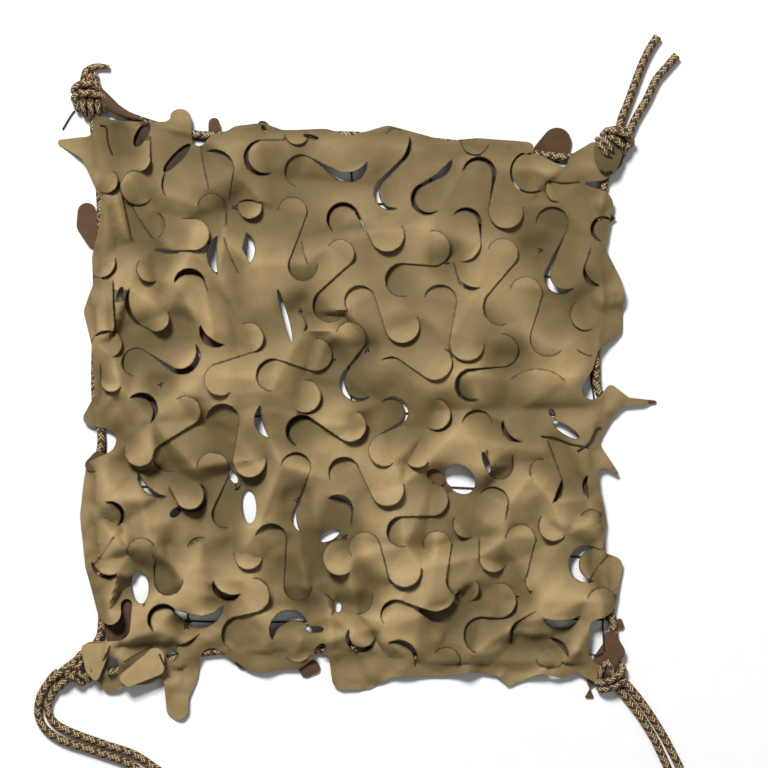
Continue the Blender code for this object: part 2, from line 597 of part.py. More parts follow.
def add_net(collection, material, rope_paths):
    top, right, bottom, left = selvedge(rope_paths)
    outline = np.vstack([top, right, bottom, left])
    border = TWINE_WIDTH / 2

    def edge_point(side, axis, value, shift):
        order = np.argsort(side[:, axis])
        point = [0.0, 0.0]
        point[axis] = value
        point[1 - axis] = np.interp(value, side[order, axis], side[order, 1 - axis]) + shift
        return point

    xs, ys = list(NET_COLUMNS), list(NET_ROWS)
    knots = {}
    for j, y in enumerate(ys):
        for i, x in enumerate(xs):
            wave = 3.0 * math.sin(0.9 * i + 1.7 * j)
            knots[i + 1, j + 1] = (x + wave, y - wave * 0.8)
        knots[0, j + 1] = edge_point(left, 1, y, border)
        knots[len(xs) + 1, j + 1] = edge_point(right, 1, y, -border)
    for i, x in enumerate(xs):
        knots[i + 1, 0] = edge_point(top, 0, x, border)
        knots[i + 1, len(ys) + 1] = edge_point(bottom, 0, x, -border)
    knots[0, 0] = (max(left[-1][0], top[0][0]) + 4, top[0][1] + 14)
    knots[len(xs) + 1, 0] = (right[0][0] - 2, top[-1][1] + 6)
    knots[0, len(ys) + 1] = (left[0][0] + 6, bottom[-1][1] - 4)
    knots[len(xs) + 1, len(ys) + 1] = (right[-1][0] - 4, bottom[0][1] - 3)
    cells = [
        cell_loop([knots[i, j], knots[i + 1, j], knots[i + 1, j + 1], knots[i, j + 1]])
        for i in range(len(xs) + 1)
        for j in range(len(ys) + 1)
    ]
    spots, faces = filled(outline, cells, [], [])
    heights = np.full(len(spots), TWINE_HEIGHT / 2)
    sheet_object("support_net", spots, heights, faces, TWINE_HEIGHT, collection, material)


def main():
    clear_scene()
    collection = bpy.data.collections.new("camouflage_netting")
    bpy.context.scene.collection.children.link(collection)
    cloth = finish("coated_cloth_sand", (0.30, 0.22, 0.12), 0.85)
    rope = finish("braided_rope_tan", (0.33, 0.23, 0.14), 0.8)
    twine = finish("net_twine_brown", (0.06, 0.045, 0.03), 0.85)

    surfaces = [add_knot(knot, collection, rope) for knot in KNOTS]
    rope_paths = []
    for route in EDGE_ROPES:
        path = spaced(clear_of_knots(route, KNOT_CLEARANCE), ROPE_STEP, closed=False)
        path = meet_knot(path, surfaces[route.knots[0]])
        path = meet_knot(path[::-1], surfaces[route.knots[1]])[::-1]
        rope_paths.append(path)
        add_rope(route.name, path, collection, rope)
    for route in TIES:
        path = spaced(clear_of_knots(route, KNOT_CLEARANCE), TIE_STEP, closed=False)
        add_rope(route.name, meet_knot(path, surfaces[route.knots[0]]), collection, rope)
    add_net(collection, twine, rope_paths)
    add_cloth(collection, cloth, rope_paths)


main()
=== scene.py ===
"""Camouflage netting laid flat: incised coated cloth on a knotted twine net inside a braided edge rope.

Plan places are in millimetres on a cutting table, x to the right and y towards the maker, and place() turns
them into the frame in metres. A turn is a round stretch of an outline or a cut: positive radii turn clockwise
in plan and negative ones the other way, and straight runs join them.
"""

import math
from collections import namedtuple

import bmesh
import bpy
import numpy as np
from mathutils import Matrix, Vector, geometry, kdtree, noise


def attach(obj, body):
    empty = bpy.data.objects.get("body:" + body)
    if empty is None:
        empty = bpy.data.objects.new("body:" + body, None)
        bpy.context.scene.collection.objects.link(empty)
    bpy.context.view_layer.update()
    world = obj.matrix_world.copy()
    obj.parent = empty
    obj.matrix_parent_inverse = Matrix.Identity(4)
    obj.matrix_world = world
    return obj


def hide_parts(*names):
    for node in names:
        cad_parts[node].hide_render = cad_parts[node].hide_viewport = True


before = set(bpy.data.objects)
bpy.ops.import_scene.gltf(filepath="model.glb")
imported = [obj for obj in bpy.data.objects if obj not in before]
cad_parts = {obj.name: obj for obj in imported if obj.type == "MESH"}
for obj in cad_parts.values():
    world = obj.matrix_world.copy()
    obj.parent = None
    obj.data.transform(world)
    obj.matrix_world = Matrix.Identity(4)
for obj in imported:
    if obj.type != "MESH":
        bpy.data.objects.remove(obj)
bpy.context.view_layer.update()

MM = 0.001
TAU = 2 * math.pi
PLAN_CENTRE = (356.5, 400.9)

ROPE_WIDTH = 8.0
ROPE_CENTRE_Z = 4.1
TWINE_RADIUS = 0.9
CORD_RELIEF = 0.12  # how far a strand's crest stands out, as a share of the rope's radius
BRAID_STRANDS = 8  # strands each way round the rope
BRAID_PITCH = 27.0  # one turn of a strand along the rope, mm
DARK_STRANDS = (1, 4, 6, 102, 105)  # strands that wind the other way count from 100
RING_STEP = 0.6
RING_POINTS = 40
ARCH_FOOT = 3.6  # the height at which a knot's turn starts and ends

CLOTH_THICK = 0.5
CLOTH_LOFT = 11.0  # mean height of the loose cloth
CLOTH_LOWEST = 1.6
SWELLS = ((5.0, 40, 3.7), (1.6, 17, 9.1))  # the loose cloth's swells: height and width in mm, and a seed
PLEAT_RISE = 4.0
EASED_ABOVE, EASED_BELOW = 20.0, 7.0  # where slack cloth starts to level out
EASED_RISE, EASED_FALL = 8.0, 4.4  # how much further than that it can still go
TIED_Z = 2.6  # the cloth's middle where a lashing holds it on the net
TIE_SPREAD = 17.0  # how wide a lashing draws the cloth down
TIE_CREASE = 1.3
OVER_ROPE_Z = 9.3
ROPE_REACH = 9.0  # how far from the rope's centre line the cloth is held up by it
ROPE_LUMPS = 7.0  # how far the cloth stands off the rope where it lies fullest
TAB_RIPPLE = 3.5
TAB_FALL = 0.2  # how fast a tab beyond the rope falls, mm a mm

EDGE_STEP = 2.6
CUT_STEP = 2.2
GRID_STEP = 3.1
LEAST_FROM_EDGE = 1.7
SLIT_HALF = 0.16  # half of the width that the knife leaves
LAP = 1.4  # how far a tongue reaches over the other side of a closed cut
LEAST_GAPE = 2.8  # a cut whose row says less than this stays closed
TONGUE_LIFT = 2.1  # how far a loose tongue's tip stands, mm for each mm that its row says
TONGUE_TWIST = 0.6  # how much more one side of a tongue lifts than its middle
TONGUE_PAINTED_SHADE = 0.13  # how much paler or darker one tongue is painted than the rest, a painted shade
EDGE_LIFT = 1.1  # how far the cloth next to a cut bends up or down, mm for each mm that its row says
HOOK_JOIN = 0.22  # how far along its swell an arc's lift starts where it runs on from another run
BACKING_DROP = 3.5  # how far under the cloth a backed gap shows the folded reverse
BACKING_REACH = 4.5  # and how far it runs on past the gap's edge
FACET_RISE = 9.5  # how far the hinge points of slack cloth stand above or below its mean
CREASE_ROUND = 0.2  # how rounded a fold's crest is, as a share of its half width

# How dark each edge is painted, from 0 to 1: brown where the hot knife singed it, and a painted shadow where
# a tongue's edge lies over the cloth, most on the lower side, and all over the folded reverse in gaps as
# painted shade.
SINGED_SHADED_UNDER, SINGED_SHADED_TONGUE, SINGED_SHADED_HOLE, SINGED_SHADED_OUTLINE = 1.0, 0.92, 0.8, 0.6
SINGED_SHADED_TAB, SINGED_SHADED_BACKING = 0.75, 0.9
# Painted shading, from 0 for the darkest to 1 for the palest: a painted highlight on what stands up and a
# painted shade in hollows. Its value on flat taut cloth, how much paler it is painted where slack, towards
# the lower left, and how many mm of lift or of level take it from the darkest to the palest.
PAINTED_SHADING_FLAT, PAINTED_SHADING_SLACK, PAINTED_SHADING_LIFT, PAINTED_SHADING_LEVEL = 0.44, 0.1, 20.0, 24.0
DARKEST_LEVEL, DARKEST_FRINGE = -12.0, 4.0  # no hollow's painted shade goes darker, inside the rope and beyond it, where tabs keep a painted highlight
# Painted shading of loose tabs: face up ones get a painted highlight, hollow ones a painted shade.
TAB_PAINTED_SHADING = {"reverse": 0.5, "face": 1.0, "hollow": 0.0}
SINGED_SHADED_EDGE = "#392B1D"
THREAD_PITCH = 0.8  # mm; real threads are about 0.25 mm apart, and are drawn coarser so that they show
WAVE_BANDS = 3.2  # bands to a metre that the wave texture draws at a scale of 1

CAMERA_HEIGHT = 3.2
PICTURE_SPAN = 0.768
PICTURE_LEVEL = 0.008  # the height at which the picture spans that much
PICTURE_MIDDLE = (384, 384)

Turn = namedtuple("Turn", "x y radius")
Hook = namedtuple("Hook", "x y radius lift gap backed", defaults=(False,))
Cut = namedtuple("Cut", "start end lead tail hooks")
Hole = namedtuple("Hole", "x y half_width half_length tilt backed", defaults=(False,))
Slash = namedtuple("Slash", "x y bearing before after gap lift")
Route = namedtuple("Route", "name points length tip", defaults=(0.0, 1.0))
Arch = namedtuple("Arch", "x1 y1 x2 y2 height bow radius", defaults=(TWINE_RADIUS,))
Knot = namedtuple("Knot", "name x y half_width half_length height tilt arches")
Tab = namedtuple("Tab", "z_in z_out turns shows", defaults=("reverse",))
Part = namedtuple("Part", "corners triangles finish singed rubbed")
FACE, REVERSE = 0, 3  # the sheet's material that a part shows; the next two are its back and its rim

# The turns of the cloth's cut edge, clockwise from the top left flap: tabs stand out, and notches (negative
# radii) run in.
CLOTH_EDGE = (
    (60, 142, 3), (85, 129, -8), (97, 119, 4.5), (113, 115, -5), (140, 127, 5), (163, 113, -9),
    (180, 120, 11.5), (199, 139, -7), (215, 143, 8), (226, 127, -4), (238, 134, 8), (262, 131, 8),
    (284, 121, -9), (325, 143, 14), (350, 124, -12), (388, 144, 18), (448, 122, -19), (478, 150, 12),
    (527, 149, 7), (531, 172.5, -21.5), (541.5, 190.5, -0.7), (531, 172.5, 19.3), (563, 163, -4),
    (575, 158, 5), (594, 149, 7), (613, 160, 10), (601, 172, 9), (586, 183.5, -1.5), (598, 205, 15),
    (614, 246, -9), (616, 280, 5), (628, 290, -4), (612, 305, 11), (617, 330, 5), (607, 356, -10),
    (588, 367, 5), (592, 389, -10.5), (611, 390, 5), (632, 391, -7), (656, 402, 1.5), (626, 417, -11),
    (604, 426, 3), (605, 441, -6), (617, 474, 2), (604, 474, -6), (590, 485, 9), (593, 521, 13),
    (612, 546, -9), (612, 567, 11), (601, 602, 14.5), (597, 627, -8), (600, 650, -12), (605, 666, 1.5),
    (597, 679, 4), (576, 681, -8), (563, 671, 7), (541, 682, -8), (509, 682, 4), (493, 684, -9),
    (472, 664, 8), (440, 664, 13), (416, 682, -6), (392, 666, 11), (366, 678, 12), (343, 679, 11),
    (322, 661, -7.5), (298, 663, 6), (255, 657, 15), (212, 660, -12), (187, 679, 10), (200, 701, -12),
    (177, 709, 11), (160, 682, -4), (144, 670, 15), (124, 690, -4), (110, 683, 9), (98, 685, -3),
    (93, 672, 6), (91, 650, 8), (118, 626, -13.5), (127, 605, -6), (110, 612, 12), (97, 565, 12),
    (95, 515, 15), (78, 478, -6), (94, 468, 8), (103, 441, -13), (91, 418, 8), (87, 393, -8),
    (104, 344, 12), (97, 312, 13), (85, 284, -8), (103, 258, 11), (91, 222, -9), (106, 199, 5),
    (66, 172, -20),
)

# Cuts that hook round and leave a tongue on each hollow side: the bearings in degrees of both ends, the
# lengths of the straight runs before and after, then each hook. A hook says how far its tongue stands above
# the cloth or below it, and how wide it gapes. Under a backed gap the cloth has folded, and its brown reverse
# shows, painted dark as the shade under the cloth.
CUTS = [Cut(start, end, lead, tail, [Hook(*hook) for hook in hooks]) for start, end, lead, tail, *hooks in (
    (-50, 110, 0, 0, (106, 181, 12, 4, 1)), (0, 45, 20, 0, (136, 158, 15, 5, 1), (139, 187, -17, 3, 2.5)),
    (212, 145, 0, 0, (183, 184, -20.5, -3, 1)), (250, 370, 0, 26, (214, 170, 20, -4, 1)),
    (190, -20, 0, 0, (250, 206, -12, 4, 1)), (222, 312, 0, 0, (248, 214, 14.5, -2, 1)),
    (190, 360, 0, 17, (212, 209, 14, 3, 1)), (270, 450, 10, 30, (193, 235, 16, 4, 1.5)),
    (-60, 60, 0, 0, (151, 225, 14, -2, 0.8)), (210, 75, 0, 0, (152, 268, -14, 3, 1.2)),
    (185, 345, 0, 12, (190, 284, 15, -3, 5)), (235, 125, 0, 0, (231, 255, -23, 3, 9)),
    (-55, 40, 0, 0, (234, 250, 21, 2, 12)), (270, 60, 20, 0, (262, 158, -17.5, 4, 3.8, True)),
    (160, 20, 0, 0, (297, 131, -13, 3, 1)), (110, 0, 0, 0, (301, 171, 16, -2, 2), (348, 163, -19, 6, 9)),
    (190, -5, 0, 0, (292, 212, 14, 2, 1), (303, 266, -14.5, -3, 1)),
    (130, -25, 0, 0, (343, 219, 16, -3, 3.2, True), (387, 234, -17, 4, 1)),
    (215, 40, 0, 0, (340, 254, 13.5, 3, 1), (330, 305, -17, -3, 1.5)),
    (-20, 70, 0, 0, (390, 145, 21, 4, 3.4, True), (391, 193, -17, -4, 4.5)),
    (230, 285, 0, 0, (396, 145, 15, 2, 2.5)),
    (0, 50, 0, 0, (433, 160, 19, 6, 6), (427, 199, -16, -3, 3.4, True)),
    (180, 20, 0, 0, (475, 140, -14, 3, 1)),
    (190, -10, 0, 0, (479, 174, 16.5, -3, 3.4, True), (506, 211, -17, 4, 1)),
    (215, 95, 0, 0, (559, 189, -13, 3, 2.7)),
    (215, 85, 0, 0, (466, 223, 15, -2, 3.2, True), (459, 241, 21, 3, 1)),
    (265, 75, 0, 0, (432, 248, 17, 3, 1), (402, 280, -16.5, -3, 1)),
    (200, 75, 0, 0, (502, 254, 14.5, 3, 1), (501, 307, -18, -3, 1.2)),
    (165, 60, 18, 0, (472, 276, -14, 2, 3)),
    (180, 45, 0, 0, (552, 223, 16, -2, 1.5), (561, 277, -16.5, 3, 5.5)),
    (100, 320, 0, 0, (603, 229, 12.5, -2, 3, True)), (200, 80, 20, 0, (597, 272, -14, -3, 4, True)),
    (200, 45, 0, 0, (525, 294, 16, 2, 1.5), (548, 338, -18, -2, 1.5)),
    (225, 75, 0, 0, (587, 314, -16, 3, 2)),
    (195, 5, 0, 0, (440, 301, 16, -2, 1.2), (467, 343, -17, 3, 2.5)),
    (145, -25, 0, 0, (360, 301, 15, -2, 1.5), (402, 325, -17, 3, 1.2)),
    (20, -60, 0, 0, (290, 326, -15, 3, 1)), (250, 60, 0, 0, (248, 338, 15, 3, 2), (222, 379, -16, 4, 1)),
    (200, 60, 0, 0, (216, 331, -16, 3, 7)),
    (215, -25, 0, 0, (150, 303, -24, 3, 4, True), (156, 318, -13, 4, 1)),
    (-60, 60, 0, 0, (106, 344, 15, 3, 1)), (180, 45, 15, 0, (113, 379, -12, 3, 1)),
    (100, -40, 0, 0, (136, 362, 14, -2, 2), (182, 356, -18, 3, 5)),
    (235, 75, 0, 0, (186, 411, 14.5, 3, 1.5), (169, 457, -15, -2, 1)),
    (225, 415, 0, 0, (142, 409, 16, -3, 5.5, True)), (190, 40, 0, 0, (141, 449, -16, 3, 1)),
    (185, 80, 0, 0, (162, 473, -24, 3, 5)), (150, -60, 20, 0, (192, 497, -15, 4, 3.4, True)),
    (250, 420, 0, 0, (112, 514, 13, -2, 3.6, True)), (170, 330, 0, 0, (143, 552, 14, 3, 1.2)),
    (180, 0, 25, 0, (169, 579, -15, -4, 2)), (200, 280, 0, 0, (202, 552, 15, 2, 1)),
    (130, 5, 0, 0, (164, 618, 15, -3, 3.4, True), (200, 604, -23, 4, 12)),
    (195, 35, 0, 0, (228, 585, -15, 3, 7, True)),
    (120, -85, 0, 0, (240, 634, 18, -2, 1), (252, 594, -17, 3, 1.5)),
    (185, -10, 0, 0, (223, 420, 16, -2, 1.2), (250, 460, -16, 4, 1.2)),
    (185, 80, 0, 0, (213, 469, 16, 3, 0.8), (226, 514, -14, -3, 2)),
    (225, 105, 0, 0, (274, 419, -19, -3, 7)),
    (275, 95, 0, 0, (315, 354, 16, 2, 1.2), (273, 375, -16, -2, 1.5)),
    (270, 480, 0, 0, (304, 396, 16, 3, 1)), (205, 50, 0, 0, (350, 338, 15, 4, 1), (358, 383, -18, -2, 4)),
    (230, -50, 0, 0, (391, 371, 14, -2, 1.2), (434, 362, -17, 3, 2)),
    (110, -60, 0, 0, (302, 431, 16, -3, 3.8, True), (350, 425, -15.5, 4, 1)),
    (225, 60, 0, 0, (393, 412, 15, -3, 2.9), (385, 450, -15.5, 2, 1)),
    (280, 470, 0, 0, (434, 414, 15.5, 3, 2)), (190, 350, 0, 0, (477, 425, 15, -2, 1)),
    (275, 65, 0, 0, (501, 350, 16, 2, 1), (471, 385, -16, -3, 3)), (230, 312, 0, 0, (537, 410, 40, 3, 1)),
    (200, 80, 0, 0, (518, 426, -16, 3, 3.6, True)), (180, 0, 16, 12, (500, 466, -13, -4, 1)),
    (275, 80, 0, 0, (431, 499, 16, 2, 1), (402, 531, -15, -2, 1)),
    (215, 370, 0, 14, (493, 502, 15, -2, 1.5)), (200, 75, 0, 0, (468, 523, -14.5, 2, 1.5)),
    (180, 40, 18, 0, (494, 556, -15, 2, 1)),
    (190, 135, 0, 0, (520, 540, 15, 2, 1), (543, 580, -17, 2, 1.5)),
    (-20, 65, 42, 0, (545, 486, 18, 2, 5, True)), (215, 45, 0, 0, (554, 525, -15, 3, 2)),
    (165, 270, 0, 0, (543, 472, 13, 3, 1)), (225, 130, 0, 0, (598, 486, -15, 2, 4, True)),
    (215, 320, 0, 0, (591, 522, 12, 3, 2)), (290, 70, 8, 0, (587, 564, -18, 3, 9)),
    (200, 345, 0, 0, (601, 603, 15, 3, 0.8)), (150, 25, 0, 0, (561, 607, -21, 4, 8)),
    (265, 110, 0, 0, (498, 600, 17, 2, 1.2), (482, 635, -18, -3, 1)),
    (165, 120, 0, 0, (437, 545, 13.5, 2, 1), (463, 579, -17, -2, 1)), (-30, 60, 0, 0, (462, 588, 16, 2, 2)),
    (150, -30, 0, 0, (396, 614, 15, -2, 2), (440, 603, -19, 5, 12)),
    (150, -15, 0, 0, (365, 548, 15.5, 2, 1), (405, 572, -17, 4, 3)), (285, 60, 0, 0, (341, 557, -17, 5, 1)),
    (230, 365, 0, 15, (338, 509, 14.5, -4, 4)),
    (190, 120, 0, 0, (296, 467, 14.5, -2, 1.5), (307, 518, -15, 2, 4)),
    (150, -15, 0, 0, (344, 472, 15, -2, 1), (387, 488, -16.5, 3, 1)),
    (130, 50, 0, 0, (417, 450, -16.5, 3, 1.5)), (180, 20, 0, 0, (249, 553, -14.5, 2, 1.5)),
    (195, 0, 0, 0, (271, 539, 15.5, -2, 1.2), (298, 586, -14, -2, 1.2)),
    (150, 345, 0, 0, (289, 629, 19, -3, 12)), (290, 390, 0, 0, (320, 607, 14, -2, 2)),
    (-10, 85, 0, 0, (356, 597, 17, -2, 1)), (215, 5, 0, 0, (361, 637, -14.5, 3, 5)),
    (240, 385, 0, 0, (398, 658, 19, -3, 4)), (215, 390, 0, 0, (446, 661, 13.5, 2, 1.2)),
    (270, 360, 0, 0, (550, 656, 18, 2, 3.6, True)), (240, 150, 20, 0, (526, 636, -17, -2, 3)),
    (35, 150, 0, 0, (550, 652, 16, -3, 1)), (185, 45, 0, 0, (107, 563, -15, 4, 4, True)),
    (240, 380, 0, 0, (131, 601, 14, 2, 1)), (-10, 115, 0, 0, (100, 261, 16, 3, 1)),
    (200, 290, 0, 0, (108, 348, 17, -3, 1)), (45, 125, 0, 0, (297, 643, 18, 3, 1)),
)]

# Straight cuts through a point. A positive lift raises the side to the left of the bearing.
SLASHES = [Slash(*row) for row in (
    (203, 160, 78, 13, 30, 0.6, -3), (142, 222, 57, 20, 20, 0.8, 5), (115, 305, 88, 24, 28, 1.4, 5),
    (584, 353, 24, 8, 8, 0.6, 3), (304, 250, 75, 9, 14, 0.4, 3), (166, 251, 8, 12, 13, 3, 4),
    (567, 182, 2, 19, 12, 0, 4), (104, 660, 117, 17, 16, 0.5, -4), (140, 653, 152, 14, 16, 0.4, 4),
    (598, 568, 128, 17, 12, 0.4, 5), (122, 194, 78, 8, 48, 0.4, -4), (231, 255, 68, 18, 19, 0.4, 2),
    (106, 549, -54, 16, 16, 0.4, -3), (187, 641, -28, 12, 14, 0.4, 4),
)]

# Places where several tongues have parted and left a hole, with the tilt of the wider side from +x in plan.
CLOTH_HOLES = [Hole(*row) for row in (
    (142, 135, 13.5, 6, -60, True), (177, 158, 19, 5, 133, True), (121, 295, 8, 3, 105),
    (285, 316, 27, 2.6, 75), (486, 462, 11, 3, 70), (249, 506, 17, 7.5, 85), (233, 477, 7, 3.5, 60),
    (140, 587, 16, 8.5, 82), (460, 479, 17, 13, 45), (434, 475, 7.5, 6, 10), (566, 430, 15, 4.5, 32),
    (552, 413, 4.5, 3, 60), (315, 629, 9, 3.5, 0), (337, 605, 7, 4, 75), (172, 655, 6.5, 5.5, 0),
    (320, 649, 7.5, 4, -50), (114, 668, 12.5, 5.2, 95), (176, 512, 6.5, 4, -40),
    (264, 129, 4.5, 2, 62, True), (311, 137, 8, 2.2, 15, True), (329.5, 535.5, 11, 5, -28),
)]

# Ridges and troughs of the loose cloth: both ends of each one's line, its half width, and its height, which
# is negative for a trough.
CLOTH_FOLDS = (
    (118, 200, 128, 240, 5, 5), (110, 210, 118, 245, 4, -5), (120, 128, 124, 154, 11, -13),
    (98, 150, 104, 180, 10, 4), (98, 245, 101, 270, 11, 6), (96, 300, 100, 330, 12, 5),
    (108, 270, 112, 330, 6, -5), (135, 205, 160, 262, 12, -6), (165, 190, 200, 240, 20, 6),
    (140, 275, 160, 320, 14, 6), (183, 300, 187, 340, 10, -5), (205, 290, 213, 335, 9, 6),
    (230, 305, 238, 345, 12, -5), (120, 400, 130, 425, 9, -5), (112, 395, 100, 412, 9, 5),
    (112, 452, 140, 462, 10, 5), (150, 478, 158, 500, 8, -6), (120, 500, 128, 545, 8, 8),
    (96, 500, 98, 560, 8, 5), (108, 600, 112, 615, 7, 7), (150, 612, 128, 640, 8, 7),
    (140, 625, 118, 648, 6, -4), (165, 640, 205, 618, 8, 6), (190, 590, 230, 600, 8, 6),
    (98, 655, 92, 668, 9, 5), (150, 660, 125, 678, 9, 6), (180, 680, 182, 712, 8, 5),
    (558, 446, 576, 478, 11, -12), (590, 505, 597, 535, 8, 6), (607, 565, 600, 590, 9, -5),
    (530, 640, 480, 655, 10, 5), (515, 612, 520, 640, 6, -6), (575, 650, 560, 668, 8, 6),
    (300, 640, 295, 660, 8, 6), (330, 610, 335, 680, 9, 6), (385, 640, 410, 655, 10, 6),
    (440, 640, 445, 670, 9, 4), (520, 168, 545, 174, 11, 4), (175, 300, 225, 330, 20, 6),
    (250, 150, 262, 300, 26, 4), (290, 178, 372, 186, 12, -6), (300, 130, 420, 150, 14, 4),
    (380, 175, 385, 215, 9, -4), (345, 215, 400, 235, 20, 5), (430, 230, 520, 260, 24, 5),
    (480, 165, 560, 175, 18, 4), (560, 215, 590, 330, 16, -4), (500, 290, 545, 350, 26, 5),
    (400, 310, 470, 340, 24, 5), (445, 374, 575, 380, 18, 8), (440, 411, 600, 408, 12, -8),
    (455, 440, 545, 452, 16, 6), (330, 335, 365, 345, 15, 7), (130, 350, 200, 345, 12, -4),
    (120, 375, 190, 392, 15, 6), (205, 375, 260, 378, 16, 6), (215, 430, 232, 470, 11, -6),
    (165, 415, 190, 425, 16, 4), (240, 440, 262, 470, 14, 7), (325, 425, 365, 425, 12, 8),
    (280, 480, 265, 520, 15, -4), (310, 470, 318, 530, 13, 6), (138, 480, 150, 540, 12, 8),
    (104, 480, 100, 540, 12, 4), (168, 545, 172, 592, 10, -8), (203, 545, 196, 595, 16, 8),
    (100, 560, 118, 545, 11, 7), (250, 530, 244, 560, 14, 6), (285, 560, 300, 605, 12, -2),
    (360, 545, 400, 580, 20, 7), (436, 540, 430, 590, 12, 8), (468, 560, 462, 610, 14, -4),
    (500, 545, 520, 560, 18, 5), (280, 606, 460, 606, 12, -6), (330, 640, 420, 615, 14, 7),
    (180, 610, 235, 640, 20, 5), (470, 640, 560, 650, 16, -4), (512, 632, 550, 634, 10, 8),
    (586, 630, 566, 668, 10, 7), (528, 652, 558, 658, 9, -9), (298, 532, 306, 588, 12, 8),
    (545, 600, 600, 600, 14, 7), (545, 520, 590, 530, 16, 6), (400, 470, 395, 510, 14, 5),
)

# Where twine holds the cloth down on the net.
LASHINGS = (
    (447, 262), (235, 207), (333, 360), (367, 350), (511, 360), (366, 428), (405, 424), (443, 483),
    (237, 487), (298, 500), (345, 537), (516, 597), (186, 627), (160, 385), (540, 250), (300, 310),
)

# Loose tabs, with their height next to the rope or inside it, and at their outer tip. Most have turned over
# and show the cloth's brown reverse. The others lie face up, painted palest as a painted highlight, or
# darkest as painted shade where they show hollow.
LOOSE_TABS = (
    Tab(5.0, 2.5, ((86.5, 212, 9.5), (88.5, 224, 10), (92, 241, 6), (85.5, 225, 9.5))),
    Tab(5.0, 5.5, ((214, 123, 5.5), (217, 137, 4), (212, 137, 4))),
    Tab(2.0, 6.5, ((557, 142, 14.5), (563, 149, 7), (539, 149, 5))),
    Tab(9.5, 8.0, ((610, 638, 7), (616, 652, 9), (613, 657, 8), (598, 659, 5), (606, 646, 4))),
    Tab(3.0, 3.0, ((620, 621, 2.5), (622, 627, 2.5), (617, 628, 2.5))),
    Tab(4.5, 4.5, ((127, 604, 9), (127, 620, 9), (112, 640, 6), (110, 624, 6))),
    Tab(6.0, 5.0, ((432, 474, 7), (441, 480, 5), (430, 482, 6))),
    Tab(5.0, 5.0, ((447, 488, 4), (453, 502, 4), (447, 508, 3))),
    Tab(12.5, 9.5, ((99, 458, 7), (104, 466, 6), (91, 465, 6))),
    Tab(3.0, 3.0, ((181, 370, 5), (190, 371, 5))),
    Tab(6.8, 2.6, ((617, 400.5, 3.5), (655.5, 402, 1.2))),
    Tab(3.0, 1.5, ((590.5, 677, 1.5), (594.5, 684, 1), (592, 689, -1.5), (593.5, 698, 0.8), (586, 698, 0.8),
                   (588.5, 689, -1.5), (588, 683, 1))),
    Tab(4.0, 3.0, ((243, 661, 8), (256, 662, 8))),
    Tab(3.0, 3.0, ((190, 276, 13), (194, 290, 10), (180, 288, 6))),
    Tab(3.0, 3.0, ((204, 322, 7), (216, 340, 8), (204, 336, 8))),
    Tab(3.0, 3.0, ((430, 612, 10), (448, 600, 10), (452, 616, 8), (436, 620, 8)), "hollow"),
    Tab(3.5, 2.0, ((302, 660, 6), (314, 668, 6), (306, 672, 6))),
    Tab(3.0, 3.0, ((122, 318, 6), (134, 330, 6), (126, 306, 6))),
    Tab(17.0, 15.5, ((88, 649, 6), (111, 644, 2), (96, 676, 4), (90, 668, 4)), "face"),
    Tab(16.0, 17.0, ((156, 656, 9), (157, 667, 8), (129, 680, 6), (125, 677, 5)), "face"),
    Tab(15.0, 13.0, ((600, 149, 6.5), (617, 155, 5), (611, 167, 6), (604, 168, 6), (599, 160, 5)), "hollow"),
)

# A band of the cloth that has rolled with its reverse outwards, from the first knot on to the top rope:
# places on its middle line, each with its half width.
ROLLED_BAND = ((98, 92, 5.5), (106, 101, 6.5), (116, 109, 5), (128, 115, 3.2), (143, 120, 0.8))

NET_COLUMNS = (190, 270, 350, 430, 510)
NET_ROWS = (205, 275, 345, 415, 487, 557, 620)

EDGE_ROPES = (
    Route("edge_rope_top", (
        (90, 98), (112, 108), (130, 116), (160, 126), (206, 135), (290, 134), (370, 136), (450, 143),
        (545, 155), (575, 157), (614, 150))),
    Route("edge_rope_right", (
        (613, 152), (604, 186), (600, 240), (602, 300), (597, 352), (597, 384), (601, 402), (593, 433),
        (584, 448), (591, 472), (598, 500), (602, 560), (611, 610), (614, 640), (611, 674))),
    Route("edge_rope_bottom", (
        (608, 674), (590, 664), (525, 661), (462, 662), (414, 660), (370, 652), (322, 650), (262, 651),
        (210, 652), (170, 661), (130, 668), (100, 675), (72, 679))),
    Route("edge_rope_left", (
        (74, 664), (84, 656), (94, 646), (101, 630), (101, 590), (98, 520), (97, 470), (101, 438),
        (95, 395), (96, 330), (101, 270), (100, 200), (95, 140), (90, 102))),
)

# The free ends, from their knot outwards, with their real length in metres and, for one, how thin its tip is.
TIES = (
    Route("tie_top_left", ((84, 91), (84, 78), (87, 70), (97, 66), (109, 67)), 0.045, 0.55),
    Route("tie_top_right_a", (
        (619, 131), (622, 118), (629, 100), (640, 70), (649, 50), (658, 36)), 0.103),
    Route("tie_top_right_b", (
        (629, 134), (636, 118), (647, 99), (656, 80), (664, 70), (677, 55)), 0.093),
    Route("tie_bottom_left_a", (
        (63, 682), (57, 687), (48, 703), (50, 718), (65, 730), (102, 744), (134, 755), (160, 772)), 0.166),
    Route("tie_bottom_left_b", (
        (58, 672), (50, 680), (39, 700), (40, 722), (58, 739), (98, 753), (128, 764), (150, 780)), 0.184),
    Route("tie_bottom_right_a", (
        (624, 683), (630, 688), (645, 707), (660, 730), (670, 748), (680, 768), (685, 782)), 0.117),
    Route("tie_bottom_right_b", (
        (618, 689), (623, 694), (638, 713), (652, 735), (661, 753), (669, 771), (673, 784)), 0.111),
)

